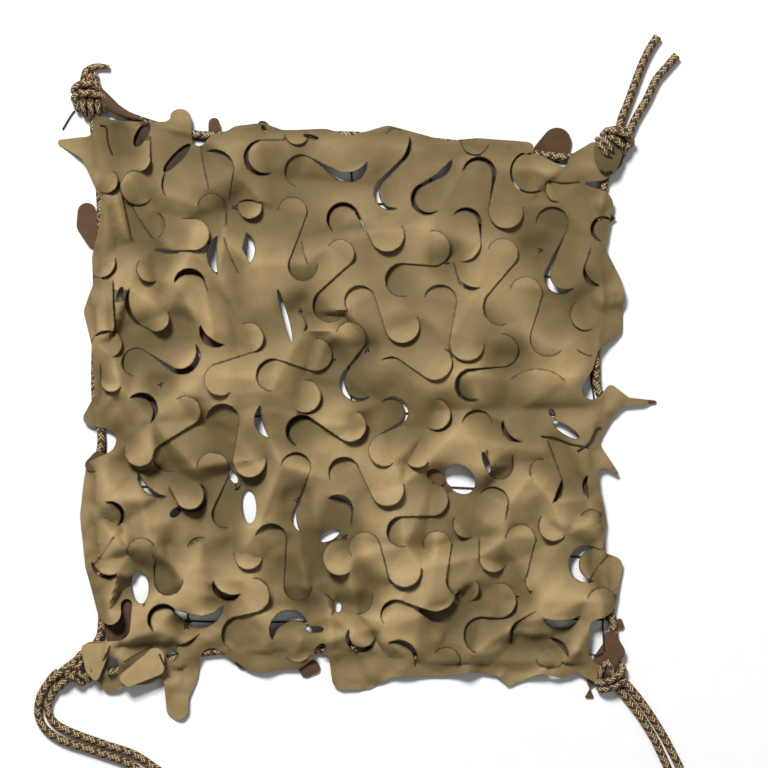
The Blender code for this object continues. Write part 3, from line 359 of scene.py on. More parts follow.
# Each knot's turns of rope, as arches over its core from foot to foot.
KNOTS = (
    Knot("corner_knot_top_left", 88, 99, 16, 17, 20, 0, (
        (74, 91, 99, 91, 15, -7, 3.8), (74, 99, 105, 101, 18.5, -6, 3.7), (76, 94, 79, 109, 13, 1.5, 3.5),
        (84, 98, 85, 114, 17, 1, 3.1), (90.5, 99, 92, 116, 18, 0, 3.1), (96.5, 100, 98.5, 114, 16, -1, 2.9),
        (102, 101, 105, 111, 13, -1.5, 2.6), (96, 91, 95, 74, 10, 0.5, 2.6), (90, 92, 90, 76, 12, 0, 3.4))),
    Knot("corner_knot_top_right", 616, 149, 16, 22, 21, 22, (
        (611, 133, 631, 144, 18, -5, 3.5), (609, 139, 623, 153, 19, -4, 3.4),
        (603, 134, 615, 154, 20, 2, 3.1), (598, 139, 610, 158, 20, 2, 2.9),
        (629, 143, 622, 153, 13, -1, 3.1), (606, 131, 624, 129, 12, -1, 3.1))),
    Knot("corner_knot_bottom_left", 70, 673, 12, 16, 19, 40, (
        (67, 677, 83, 653, 15, -2, 3.3), (72, 677, 84, 660, 15, -1, 3), (75, 664, 89, 680, 14, 2.5, 2.7),
        (70, 671, 83, 683, 14, 2.5, 2.9), (54, 678, 74, 662, 11.5, 0, 3.9),
        (59, 687, 76, 671, 11.5, 0, 3.9))),
    Knot("corner_knot_bottom_right", 611, 677, 13, 15, 18, -20, (
        (606, 661, 598, 681, 13, 0.5, 2.6), (597, 682, 623, 668, 16, 4.5, 3.5),
        (600, 689, 624, 679, 14, 3, 3.4), (621, 664, 623, 678, 11, -1, 2.6),
        (608, 661, 615, 677, 13.5, 0.5, 3.1))),
)

# Loose ends of dark twine that lie on the cloth and out over its edge.
TWINE_ENDS = (
    ((74, 110), (69, 117), (62, 129)), ((100, 125), (106, 127), (107, 137), (109, 146), (112, 154)),
    ((601, 427), (595, 430), (591, 440), (585, 446), (577, 451)),
    ((541, 436), (556, 438), (572, 444), (588, 447)), ((602, 152), (606, 156), (611, 158)),
    ((600, 170), (604, 173), (611, 171)), ((604, 618), (603, 632), (604, 650)),
    ((590, 654), (597, 655), (603, 652)), ((160, 653), (163, 660), (167, 668)),
)


def place(x, y, z):
    """One plan point with its height, in the frame in metres."""
    return Vector(((x - PLAN_CENTRE[0]) * MM, (PLAN_CENTRE[1] - y) * MM, z * MM))


def placed(points):
    """Many plan points, each with its height, in the frame in metres."""
    points = np.asarray(points, float)
    return np.column_stack([
        (points[:, 0] - PLAN_CENTRE[0]) * MM, (PLAN_CENTRE[1] - points[:, 1]) * MM, points[:, 2] * MM,
    ])


def add_piece(name, mesh, replaced):
    """A visible piece on the part's only body, in place of the solids that it replaces."""
    piece = bpy.data.objects.new(name, mesh)
    bpy.context.scene.collection.objects.link(piece)
    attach(piece, "root")
    if replaced:
        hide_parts(*replaced)
    return piece


def plan_tree(spots):
    """Plan places, ready to be searched for those near a point."""
    tree = kdtree.KDTree(len(spots))
    for i, (x, y) in enumerate(spots):
        tree.insert((x, y, 0), i)
    tree.balance()
    return tree


def directions(path):
    """The unit direction of a path at each of its points."""
    along = np.gradient(path, axis=0)
    return along / np.linalg.norm(along, axis=1)[:, None]


def rightwards(path):
    """The unit direction to the right of a plan path at each of its points."""
    along = directions(path)
    return np.column_stack([-along[:, 1], along[:, 0]])


def tilted(shape, along, across):
    """Plan places from their offsets along and across a tilted shape."""
    tilt = math.radians(shape.tilt)
    return (
        shape.x + along * math.cos(tilt) - across * math.sin(tilt),
        shape.y + along * math.sin(tilt) + across * math.cos(tilt),
    )


def patch(rows, columns):
    """Triangles between points that stand in rows and columns."""
    index = np.arange(rows * columns).reshape(rows, columns)
    a, b = index[:-1, :-1].ravel(), index[:-1, 1:].ravel()
    c, d = index[1:, 1:].ravel(), index[1:, :-1].ravel()
    return np.vstack([np.column_stack([a, b, c]), np.column_stack([a, c, d])])


# ---- outlines and cuts in plan ------------------------------------------------------------------


def on_turn(turn, heading):
    """The place on a turn at which a path round it has this heading."""
    return turn.x + turn.radius * math.sin(heading), turn.y - turn.radius * math.cos(heading)


def heading_between(first, second):
    """The heading of the straight run that leaves one turn and joins the next."""
    across, down = second.x - first.x, second.y - first.y
    lean = (second.radius - first.radius) / math.hypot(across, down)
    return math.atan2(down, across) - math.asin(max(-0.97, min(0.97, lean)))


def arc(turn, heading_in, heading_out, step):
    """Places round a turn from one heading to another. Nearly a whole circle counts as no sweep at all."""
    way = 1 if turn.radius > 0 else -1
    sweep = (way * (heading_out - heading_in)) % TAU
    if sweep > TAU - 0.5:
        sweep = 0.0
    count = max(1, round(sweep * abs(turn.radius) / step))
    return [on_turn(turn, heading_in + way * sweep * i / count) for i in range(count + 1)]


def spaced(points, step, closed=False):
    """The same path with points an even step apart, whatever else each point carries."""
    path = np.array(list(points) + ([points[0]] if closed else []), float)
    along = np.concatenate([[0], np.cumsum(np.hypot(*np.diff(path[:, :2], axis=0).T))])
    count = max(2, round(along[-1] / step))
    at = np.linspace(0, along[-1], count + 1)
    out = np.column_stack([np.interp(at, along, path[:, i]) for i in range(path.shape[1])])
    return out[:-1] if closed else out


def closed_outline(rows, step):
    """A closed outline from its turns' middles and radii."""
    turns = [Turn(*row) for row in rows]
    points = []
    for i, turn in enumerate(turns):
        heading_in = heading_between(turns[i - 1], turn)
        heading_out = heading_between(turn, turns[(i + 1) % len(turns)])
        points += arc(turn, heading_in, heading_out, 1.0)
    return spaced(points, step, closed=True)


def cut_loop(cut):
    """A cut as a thin closed loop, and how far each of its points lifts. The hollow side is the tongue's."""
    first, last = cut.hooks[0], cut.hooks[-1]
    headings = [math.radians(cut.start) + math.copysign(math.pi / 2, first.radius)]
    headings += [heading_between(a, b) for a, b in zip(cut.hooks, cut.hooks[1:])]
    headings.append(math.radians(cut.end) + math.copysign(math.pi / 2, last.radius))
    # x, y, then for the right side and for the left: how far it gapes, lifts and laps over
    rows = []
    for i, (hook, into, out) in enumerate(zip(cut.hooks, headings, headings[1:])):
        spots = arc(hook, into, out, 1.0)
        # where the same side stays up into a straight run or the next hook, the lift doesn't die away
        before = cut.hooks[i - 1].lift if i else -cut.lead * hook.lift
        after = cut.hooks[i + 1].lift if i + 1 < len(cut.hooks) else -cut.tail * hook.lift
        first_share = HOOK_JOIN if before * hook.lift < 0 else 0.0
        last_share = 1 - HOOK_JOIN if after * hook.lift < 0 else 1.0
        swell = np.sin(np.pi * np.linspace(first_share, last_share, len(spots))) ** 0.7
        # an open gap runs on into the straight run between two hooks, but not into a lead or a tail
        first_share = first_share if i else 0.0
        last_share = last_share if i + 1 < len(cut.hooks) else 1.0
        opening = np.sin(np.pi * np.linspace(first_share, last_share, len(spots))) ** 0.7
        gapes = hook.gap > LEAST_GAPE
        for (x, y), s, rise in zip(spots, opening, EDGE_LIFT * hook.lift * swell):
            tongue = (hook.gap * s if gapes else 0.0, rise, 0.0 if gapes else LAP * s)
            other = (0.0, -rise, 0.0)
            right, left = (tongue, other) if hook.radius > 0 else (other, tongue)
            rows.append((x, y, *right, *left))
    still = (0.0,) * 6
    if cut.lead:
        x, y = rows[0][:2]
        rows.insert(0, (x - cut.lead * math.cos(headings[0]), y - cut.lead * math.sin(headings[0]), *still))
    if cut.tail:
        x, y = rows[-1][:2]
        rows.append((x + cut.tail * math.cos(headings[-1]), y + cut.tail * math.sin(headings[-1]), *still))
    return opened(spaced(rows, CUT_STEP))


def slash_loop(slash):
    """A straight cut as a thin closed loop, with what cut_loop gives."""
    along = np.array([math.cos(math.radians(slash.bearing)), math.sin(math.radians(slash.bearing))])
    count = round((slash.before + slash.after) / CUT_STEP)
    at = np.linspace(-slash.before, slash.after, count + 1)
    swell = np.sin(np.linspace(0, math.pi, count + 1))
    path = np.array([slash.x, slash.y]) + along * at[:, None]
    half = slash.gap / 2 * swell
    lift = slash.lift * swell
    lap = LAP * swell * (slash.gap < 1)
    return opened(np.column_stack([path, half, -0.5 * lift, 0 * lap, half, lift, lap]))


def opened(rows):
    """Both sides of a cut from its rows: their places, their lift, and how they lap over each other."""
    path = rows[:, :2]
    away = rightwards(path)
    least = SLIT_HALF * np.clip(np.sin(np.linspace(0, math.pi, len(path))) * 4, 0, 1)
    right = path + away * (least + rows[:, 2])[:, None]
    left = path - away * (least + rows[:, 5])[:, None]
    loop = np.vstack([right, left[-2:0:-1]])
    lift = np.concatenate([rows[:, 3], rows[-2:0:-1, 6]])
    over = np.vstack([-away * rows[:, 4:5], (away * rows[:, 7:8])[-2:0:-1]])
    return loop, lift, over


def hole_loop(hole):
    """A hole's edge, an oval."""
    count = max(10, round(math.pi * (hole.half_width + hole.half_length) / CUT_STEP))
    turn = np.arange(count) * TAU / count
    return np.column_stack(tilted(hole, hole.half_width * np.cos(turn), hole.half_length * np.sin(turn)))


def inside(points, loop):
    """Which points lie inside a closed loop, a few thousand at a time."""
    result = np.zeros(len(points), bool)
    low, high = loop.min(axis=0), loop.max(axis=0)
    near = np.flatnonzero(((points >= low) & (points <= high)).all(axis=1))
    x1, y1 = loop[:, 0], loop[:, 1]
    x2, y2 = np.roll(x1, -1), np.roll(y1, -1)
    rise = np.where(y2 == y1, 1.0, y2 - y1)
    for part in np.array_split(near, max(1, len(near) // 5000)):
        x, y = points[part, 0:1], points[part, 1:2]
        crosses = (y1 > y) != (y2 > y)
        result[part] = (crosses & (x < (x2 - x1) * (y - y1) / rise + x1)).sum(axis=1) % 2 == 1
    return result


def distance_to_path(points, path):
    """How far each point lies from a path."""
    nearest = np.full(len(points), 1e9)
    for a, b in zip(path[:-1], path[1:]):
        run = b - a
        offset = points - a
        share = np.clip(offset @ run / max(run @ run, 1e-9), 0, 1)
        nearest = np.minimum(nearest, np.hypot(*(offset - share[:, None] * run).T))
    return nearest


def smooth_route(points, step):
    """A smooth curve through a route's own points, with points an even step apart."""
    fixed = np.array(points, float)
    ends = np.vstack([2 * fixed[0] - fixed[1], fixed, 2 * fixed[-1] - fixed[-2]])
    out = []
    for i in range(1, len(ends) - 2):
        a, b, c, d = ends[i - 1 : i + 3]
        for t in np.arange(0, 1, 0.05):
            bend = (2 * a - 5 * b + 4 * c - d) * t**2 + (3 * b - a - 3 * c + d) * t**3
            out.append(0.5 * (2 * b + (c - a) * t + bend))
    return spaced(out + [fixed[-1]], step)


# ---- the cloth ----------------------------------------------------------------------------------


def filled(outline, holes, grid):
    """Triangles inside an outline and outside its holes, and which given point each corner was."""
    points = [tuple(p) for p in outline]
    edges = [(i, (i + 1) % len(outline)) for i in range(len(outline))]
    for hole in holes:
        first = len(points)
        points += [tuple(p) for p in hole]
        edges += [(first + i, first + (i + 1) % len(hole)) for i in range(len(hole))]
    points += [tuple(p) for p in grid]
    made = geometry.delaunay_2d_cdt([Vector(p) for p in points], edges, [], 0, 1e-4)
    spots = np.array([tuple(p) for p in made[0]])
    faces = np.array([tuple(face) for face in made[2]])
    source = np.array([old[0] if old else -1 for old in made[3]])
    middles = spots[faces].mean(axis=1)
    kept = inside(middles, np.array(outline))
    for hole in holes:
        kept &= ~inside(middles, np.array(hole))
    faces = faces[kept]
    used, index = np.unique(faces, return_inverse=True)
    return spots[used], index.reshape(-1, 3), source[used]


def grid_within(outline, loops):
    """A staggered grid of points inside an outline, clear of it and of every loop."""
    low, high = outline.min(axis=0), outline.max(axis=0)
    xs = np.arange(low[0], high[0], GRID_STEP)
    ys = np.arange(low[1], high[1], GRID_STEP * 0.866)
    x, y = np.meshgrid(xs, ys)
    x = x + (np.arange(len(ys)) % 2 * GRID_STEP / 2)[:, None]
    grid = np.column_stack([x.ravel(), y.ravel()])
    grid = grid[inside(grid, outline)]
    for loop in loops:
        grid = grid[~inside(grid, loop)]
    tree = plan_tree(np.vstack([outline] + loops))
    clear = [tree.find((a, b, 0))[2] > LEAST_FROM_EDGE for a, b in grid]
    return grid[clear]


def relaxed(values, held, faces, rounds, hold_back):
    """Values spread smoothly from the held points over the sheet, dying away with distance."""
    pairs = np.vstack([faces[:, [0, 1]], faces[:, [1, 2]], faces[:, [2, 0]]])
    pairs = np.unique(np.sort(pairs, axis=1), axis=0)
    ends = np.concatenate([pairs[:, 0], pairs[:, 1]])
    others = np.concatenate([pairs[:, 1], pairs[:, 0]])
    degree = np.bincount(ends, minlength=len(values))
    for _ in range(rounds):
        total = np.bincount(ends, weights=values[others], minlength=len(values))
        values = np.where(held, values, total / (degree * (1 + hold_back)))
    return values


def folded(spots):
    """The height of the loose cloth with its folds."""
    height = np.full(len(spots), CLOTH_LOFT)
    for x1, y1, x2, y2, spread, rise in CLOTH_FOLDS:
        away = distance_to_path(spots, np.array([(x1, y1), (x2, y2)], float)) / spread
        height += rise * np.exp(CREASE_ROUND - np.hypot(away * 1.2, CREASE_ROUND))
    return height


def billow(spots, size, seed):
    """Slow swells of the cloth, from -1 to 1, this many millimetres across."""
    return np.array([noise.noise(Vector((x / size, y / size, seed))) for x, y in spots])


def slackness(spots):
    """How loosely the cloth lies, from taut at the upper right to slack at the lower left."""
    return np.clip(0.75 + (spots[:, 1] - 400) / 550 - (spots[:, 0] - 350) / 1000, 0.3, 1.3)


def hook_bearings(cut):
    """Each hook of a cut, with the bearings in degrees at which its arc starts and ends."""
    joins = [(a, b, heading_between(a, b)) for a, b in zip(cut.hooks, cut.hooks[1:])]
    starts = [math.degrees(way - math.copysign(math.pi / 2, b.radius)) for _, b, way in joins]
    ends = [math.degrees(way - math.copysign(math.pi / 2, a.radius)) for a, _, way in joins]
    return list(zip(cut.hooks, [cut.start] + starts, ends + [cut.end]))


def swept(hook, start, end):
    """Which way a hook's arc turns, and through how many degrees."""
    way = 1 if hook.radius > 0 else -1
    return way, (way * (end - start)) % 360


def tongues_swung(spots):
    """How far each tongue stands up or hangs down, swinging stiffly about the line between its cut's ends.

    Also how pale each one is painted, from -1 to 1, a painted shade that differs from tongue to tongue.
    """
    rise, pale = np.zeros(len(spots)), np.zeros(len(spots))
    for hook, start, end in [row for cut in CUTS for row in hook_bearings(cut)]:
        way, degrees = swept(hook, start, end)
        sweep = math.radians(degrees)
        middle = math.radians(start) + way * sweep / 2
        radius = abs(hook.radius)
        offset = spots - np.array([hook.x, hook.y])
        outwards = offset @ np.array([math.cos(middle), math.sin(middle)])
        sideways = offset @ np.array([-math.sin(middle), math.cos(middle)])
        hinge = radius * math.cos(sweep / 2)
        share = (outwards - hinge) / (radius - hinge)
        lean = 1 + TONGUE_TWIST * math.sin(hook.x * 0.7 + hook.y) * sideways / radius
        within = (np.hypot(outwards, sideways) < radius) & (share > 0)
        rise[within] = (TONGUE_LIFT * hook.lift * share * lean)[within]
        # A painted shade over the whole tongue, a random amount for each.
        pale[within] = (math.sin(hook.x * 1.9 + hook.y * 2.7) * np.clip(share * 4, 0, 1))[within]
    return rise, pale


def cut_ends():
    """The plan places of both ends of every cut."""
    ends = []
    for cut in CUTS:
        ends.append((cut.hooks[0], abs(cut.hooks[0].radius), math.radians(cut.start)))
        ends.append((cut.hooks[-1], abs(cut.hooks[-1].radius), math.radians(cut.end)))
    for slash in SLASHES:
        ends.append((slash, -slash.before, math.radians(slash.bearing)))
        ends.append((slash, slash.after, math.radians(slash.bearing)))
    return [(at.x + reach * math.cos(turn), at.y + reach * math.sin(turn)) for at, reach, turn in ends]


def hinged(spots):
    """Flat facets that hinge on lines between the ends of the cuts, from -1 to 1."""
    low, high = spots.min(axis=0) - 40, spots.max(axis=0) + 40
    corners = [(low[0], low[1]), (high[0], low[1]), (high[0], high[1]), (low[0], high[1])]
    border = [(x, y) for x, y, radius in CLOTH_EDGE if radius > 0]
    made = geometry.delaunay_2d_cdt([Vector(p) for p in corners + border + cut_ends()], [], [], 0, 1e-4)
    posts = np.array([tuple(p) for p in made[0]])
    rise = np.sin(np.arange(len(posts)) * 2.4)
    height = np.zeros(len(spots))
    for i, j, k in made[2]:
        sides = np.column_stack([posts[j] - posts[i], posts[k] - posts[i]])
        share = np.linalg.solve(sides, (spots - posts[i]).T)
        within = (share >= 0).all(axis=0) & (share.sum(axis=0) <= 1)
        facet = rise[i] + share[0] * (rise[j] - rise[i]) + share[1] * (rise[k] - rise[i])
        height[within] = facet[within]
    return height


def cloth_heights(spots, lifted, rope_paths):
    """The height of the cloth's middle: folds, lifted tongues, lashings drawn down, and the rope under it."""
    slack = slackness(spots)
    height = folded(spots) + slack * sum(rise * billow(spots, size, seed) for rise, size, seed in SWELLS)
    height += slack * PLEAT_RISE * (0.3 - np.abs(billow(spots, 38, 1.2)))
    height += slack * FACET_RISE * hinged(spots)
    for i, (x, y) in enumerate(LASHINGS):
        away = np.hypot(spots[:, 0] - x, spots[:, 1] - y)
        bearing = np.arctan2(spots[:, 1] - y, spots[:, 0] - x)
        drawn = np.exp(-((away / TIE_SPREAD) ** 2))
        height = height * (1 - drawn) + TIED_Z * drawn
        # three small creases run out from each lashing
        creases = np.cos(bearing * 3 + i * 1.3) * away / 9 * np.exp(-((away / 15) ** 2))
        height += TIE_CREASE * creases
    height = eased(height + lifted)
    outside_rope = ~inside(spots, np.vstack(rope_paths))
    distances = [distance_to_path(spots, path) for path in rope_paths]
    for away in distances:
        near_rope = 0.6 * np.exp(-((away / ROPE_REACH) ** 2))
        height = height * (1 - near_rope) + OVER_ROPE_Z * near_rope
    nearest = np.min(distances, axis=0)
    lumps = ROPE_LUMPS * np.maximum(0, billow(spots, 24, 8.8))
    fall = TAB_FALL * (1 + 1.5 * billow(spots, 33, 7.3)) * np.maximum(0, nearest - 2.0)
    fallen = OVER_ROPE_Z + lumps + (TAB_RIPPLE * billow(spots, 21, 6.6) - fall)
    height = np.where(outside_rope, np.minimum(height, fallen), height)
    over_rope = OVER_ROPE_Z + lumps - 0.5 * np.maximum(0, nearest - 1.0)
    height = np.maximum(height, np.where(nearest < ROPE_REACH, over_rope, -1.0))
    return np.maximum(height, np.where(outside_rope, CLOTH_LOWEST, TIED_Z))


def eased(height):
    """Heights that level out towards the highest and the lowest that slack cloth lies."""
    high = EASED_ABOVE + EASED_RISE * (1 - np.exp((EASED_ABOVE - height) / EASED_RISE))
    height = np.where(height > EASED_ABOVE, high, height)
    low = EASED_BELOW - EASED_FALL * (1 - np.exp((height - EASED_BELOW) / EASED_FALL))
    return np.where(height < EASED_BELOW, low, height)


def loose_tab(tab, rope_paths):
    """A loose tab that slopes to its tip."""
    loop = closed_outline(tab.turns, EDGE_STEP)
    spots, faces, source = filled(loop, [], grid_within(loop, []))
    nearest = np.min([distance_to_path(spots, path) for path in rope_paths], axis=0)
    beyond = np.where(inside(spots, np.vstack(rope_paths)), -nearest, nearest)
    share = np.clip((beyond - beyond.min()) / (beyond.max() - beyond.min()), 0, 1)
    height = tab.z_in + (tab.z_out - tab.z_in) * share + 0.9 * billow(spots, 12, 5.5)
    corners = np.column_stack([spots, np.maximum(height, 1.0)])
    edge = (source >= 0) & (source < len(loop)) & (tab.shows == "face")
    finish = REVERSE if tab.shows == "reverse" else FACE
    return Part(corners, faces, finish, np.where(edge, SINGED_SHADED_TAB, 0.0), TAB_PAINTED_SHADING[tab.shows])


def rolled_band():
    """The rolled band, arched over the rope."""
    line = np.array(ROLLED_BAND, float)
    at = np.linspace(0, len(line) - 1, 34)
    x, y, half = (np.interp(at, np.arange(len(line)), line[:, i]) for i in range(3))
    path = np.column_stack([x, y])
    share = np.linspace(-1, 1, 13)
    spots = path[:, None, :] + rightwards(path)[:, None, :] * (half[:, None] * share)[..., None]
    z = 10.0 + 2.6 * np.sqrt(1 - share**2 * 0.96)[None, :] * np.minimum(1, half / 4)[:, None]
    corners = np.dstack([spots, z]).reshape(-1, 3)
    return Part(corners, patch(len(at), len(share)), REVERSE, 0.0, TAB_PAINTED_SHADING["reverse"])


def lowest_near(spots, heights, wanted):
    """For each wanted place, the lowest that the cloth lies within reach of it."""
    tree = plan_tree(spots)
    low = []
    for x, y in wanted:
        near = [i for _, i, _ in tree.find_range((x, y, 0), BACKING_REACH)]
        low.append(heights[near].min() if near else heights[tree.find((x, y, 0))[1]])
    return np.maximum(np.array(low) - BACKING_DROP, 1.1)


def hook_backing(hook, start, end):
    """The plan of the folded reverse that shows in a hook's gap: a strip along it, wider than the gap."""
    way, sweep = swept(hook, start, end)
    count = max(6, round(math.radians(sweep) * abs(hook.radius) / 3))
    bearings = np.radians(start + way * sweep * np.linspace(0, 1, count))
    reach = abs(hook.radius) + np.linspace(-hook.gap - BACKING_REACH, BACKING_REACH, 6)
    x = hook.x + np.cos(bearings)[:, None] * reach
    y = hook.y + np.sin(bearings)[:, None] * reach
    return np.dstack([x, y])


def hole_backing(hole):
    """The plan of the folded reverse that shows in a hole: rings from its middle out past its edge."""
    turn = np.linspace(0, TAU, 17)
    share = np.linspace(0.02, 1, 5)[:, None]
    along = (hole.half_width + BACKING_REACH) * share * np.cos(turn)
    across = (hole.half_length + BACKING_REACH) * share * np.sin(turn)
    return np.dstack(tilted(hole, along, across))


def backings(spots, heights):
    """The folded reverse under each backed gap, painted dark as shade."""
    plans = [hole_backing(hole) for hole in CLOTH_HOLES if hole.backed]
    for cut in CUTS:
        plans += [hook_backing(hook, start, end) for hook, start, end in hook_bearings(cut) if hook.backed]
    made = []
    for plan in plans:
        wanted = plan.reshape(-1, 2)
        corners = np.column_stack([wanted, lowest_near(spots, heights, wanted)])
        # The folded reverse is painted at the darkest tone and darkened all over at its edges' colour, a
        # painted shade.
        made.append(Part(corners, patch(*plan.shape[:2]), REVERSE, SINGED_SHADED_BACKING, 0.0))
    return made


def incised_sheet(rope_paths):
    """The sheet with its cuts and holes, its folds, and each tongue swung up or down."""
    outline = closed_outline(CLOTH_EDGE, EDGE_STEP)
    cuts = [cut_loop(cut) for cut in CUTS] + [slash_loop(slash) for slash in SLASHES]
    holes = [hole_loop(hole) for hole in CLOTH_HOLES]
    loops = [loop for loop, _, _ in cuts] + holes
    spots, faces, source = filled(outline, loops, grid_within(outline, loops))
    lifts = np.concatenate([np.zeros(len(outline))] + [lift for _, lift, _ in cuts])
    overs = np.vstack([np.zeros((len(outline), 2))] + [over for _, _, over in cuts])
    held = (source >= len(outline)) & (source < len(lifts))
    row = np.clip(source, 0, len(lifts) - 1)
    loose = np.clip(slackness(spots), 0.35, 1.2)
    lifted = relaxed(np.where(held, lifts[row] * loose, 0.0), held, faces, rounds=500, hold_back=0.004)
    swung, pale = tongues_swung(spots)
    lifted += loose * swung
    over = np.column_stack([
        relaxed(np.where(held, overs[row, i], 0.0), held, faces, rounds=60, hold_back=0.04) for i in (0, 1)
    ])
    heights = cloth_heights(spots, lifted, rope_paths)

    # A cut edge is singed brown by the hot knife, and a painted shadow darkens it most on the side that the
    # tongue lies over.
    singed = np.where(held, np.where(lifts[row] < 0, SINGED_SHADED_UNDER, SINGED_SHADED_TONGUE), 0.0)
    last_hole = len(lifts) + sum(len(hole) for hole in holes)
    singed = np.where((source >= len(lifts)) & (source < last_hole), SINGED_SHADED_HOLE, singed)
    singed = np.where((source >= 0) & (source < len(outline)), SINGED_SHADED_OUTLINE, singed)
    # Painted shading: paler on what stands up, a painted highlight, and darker in the hollows, a painted
    # shade, with painted light on the slack cloth and on the tabs beyond the rope, and a painted shade for
    # each tongue.
    darkest = np.where(inside(spots, np.vstack(rope_paths)), DARKEST_LEVEL, DARKEST_FRINGE)
    darkest = relaxed(darkest, np.zeros(len(spots), bool), faces, rounds=14, hold_back=0)
    level = np.maximum(heights - lifted - CLOTH_LOFT, darkest)
    rubbed = PAINTED_SHADING_FLAT + PAINTED_SHADING_SLACK * loose + lifted / PAINTED_SHADING_LIFT + level / PAINTED_SHADING_LEVEL
    rubbed = np.clip(rubbed + TONGUE_PAINTED_SHADE * pale, 0, 1)
    return Part(np.column_stack([spots + over, heights]), faces, FACE, singed, rubbed)


def add_cloth(rope_paths, materials):
    """The cloth as one piece: the sheet, its loose tabs, its rolled band and what shows under backed gaps."""
    sheet = incised_sheet(rope_paths)
    parts = [sheet] + [loose_tab(tab, rope_paths) for tab in LOOSE_TABS] + [rolled_band()]
    parts += backings(sheet.corners[:, :2], sheet.corners[:, 2])
    counts = [len(part.corners) for part in parts]
    firsts = np.cumsum([0] + counts)
    triangles = np.vstack([part.triangles + first for part, first in zip(parts, firsts)])
    mesh = bpy.data.meshes.new("garnish_cloth_sheet")
    mesh.from_pydata(placed(np.vstack([part.corners for part in parts])).tolist(), [], triangles.tolist())
    finishes = [np.full(len(part.triangles), part.finish) for part in parts]
    mesh.polygons.foreach_set("material_index", np.concatenate(finishes))
    for name in ("singed", "rubbed"):
        values = [np.broadcast_to(getattr(part, name), count) for part, count in zip(parts, counts)]
        mark_points(mesh, name, np.concatenate(values))
    face_up(mesh)
    for material in materials:
        mesh.materials.append(material)
    cloth = add_piece("incised_garnish_cloth", mesh, ["garnish_cloth"])
    thicken(cloth, CLOTH_THICK)
    return cloth


def mark_points(mesh, name, values):
    """A value on each of a mesh's points, for its finish to read."""
    attribute = mesh.attributes.new(name, "FLOAT", "POINT")
    attribute.data.foreach_set("value", values.astype(np.float32))


def face_up(mesh):
    """Turns over each face that looks down."""
    shape = bmesh.new()
    shape.from_mesh(mesh)
    turned = [face for face in shape.faces if face.normal.z < 0]
    bmesh.ops.reverse_faces(shape, faces=turned)
    shape.to_mesh(mesh)
    shape.free()


def thicken(sheet, thickness):
    """The sheet with its two faces and its cut rim, each with its own finish, applied to the mesh."""
    solid = sheet.modifiers.new("cloth_thickness", "SOLIDIFY")
    solid.thickness = thickness * MM
    solid.offset = 0.0
    solid.material_offset = 1
    solid.material_offset_rim = 2
    graph = bpy.context.evaluated_depsgraph_get()
    mesh = bpy.data.meshes.new_from_object(sheet.evaluated_get(graph))
    sheet.modifiers.clear()
    sheet.data = mesh
    mesh.shade_smooth()
    mesh.set_sharp_from_angle(angle=0.9)


# ---- ropes --------------------------------------------------------------------------------------


def tube(centres, radius, relief, dark_strands, ring_points):
    """A braided tube round a line of centres: corners, faces, and the tone of each corner, with painted shade
    in the grooves.
    """
    centres = np.asarray(centres, float)
    along = directions(centres)
    side = np.cross(along, [0.0, 0.0, 1.0])
    weak = np.linalg.norm(side, axis=1) < 0.2
    side[weak] = np.cross(along[weak], [0.3, 1.0, 0.0])
    for i in range(1, len(side)):
        if side[i] @ side[i - 1] < 0:
            side[i] *= -1
    side /= np.linalg.norm(side, axis=1)[:, None]
    over = np.cross(side, along)
    length = np.concatenate([[0], np.cumsum(np.linalg.norm(np.diff(centres, axis=0), axis=1))])
    turn = np.arange(ring_points) * TAU / ring_points
    s, t = np.meshgrid(length, turn, indexing="ij")
    lay = s / BRAID_PITCH
    one = BRAID_STRANDS * (t / TAU + lay)
    other = BRAID_STRANDS * (t / TAU - lay)
    strand_one, strand_other = np.floor(one), np.floor(other)
    one_on_top = (strand_one + strand_other) % 4 < 2
    across = np.where(one_on_top, one - strand_one, other - strand_other)
    crest = np.sin(np.pi * across) ** 0.7
    number = np.where(one_on_top, strand_one % BRAID_STRANDS, 100 + strand_other % BRAID_STRANDS)
    dark = np.isin(number, dark_strands)
    r = np.broadcast_to(radius, len(length))[:, None] * (1 + relief * (crest - 0.7))
    outwards = side[:, None, :] * np.cos(t)[..., None] + over[:, None, :] * np.sin(t)[..., None]
    ring = centres[:, None, :] + outwards * r[..., None]
    corners = np.vstack([ring.reshape(-1, 3), centres[:1], centres[-1:]])
    rows = len(length)
    index = np.arange(rows * ring_points).reshape(rows, ring_points)
    nxt = np.roll(index, -1, axis=1)
    quads = np.stack([index[:-1], nxt[:-1], nxt[1:], index[1:]], axis=-1).reshape(-1, 4).tolist()
    first, last = rows * ring_points, rows * ring_points + 1
    caps = [(first, int(b), int(a)) for a, b in zip(index[0], nxt[0])]
    caps += [(last, int(a), int(b)) for a, b in zip(index[-1], nxt[-1])]
    # Each corner's tone: dark strands are darker, and every strand is painted darker from its crest into the
    # grooves, a painted shade.
    tone = np.concatenate([np.where(dark, 0.35, 1.0).ravel() * crest.ravel() ** 2.6, [0.2, 0.2]])
    return corners, quads + caps, tone


def tubes_mesh(name, tubes, material):
    """One mesh from several tubes, with their tone as an attribute."""
    corners, faces, tones, count = [], [], [], 0
    for tube_corners, tube_faces, tone in tubes:
        corners.append(tube_corners)
        faces += [tuple(int(i) + count for i in face) for face in tube_faces]
        tones.append(tone)
        count += len(tube_corners)
    mesh = bpy.data.meshes.new(name)
    mesh.from_pydata(placed(np.vstack(corners)).tolist(), [], faces)
    mark_points(mesh, "strand_tone_and_groove_shade", np.concatenate(tones))
    shape = bmesh.new()
    shape.from_mesh(mesh)
    bmesh.ops.recalc_face_normals(shape, faces=shape.faces)
    shape.to_mesh(mesh)
    shape.free()
    mesh.materials.append(material)
    mesh.shade_smooth()
    return mesh


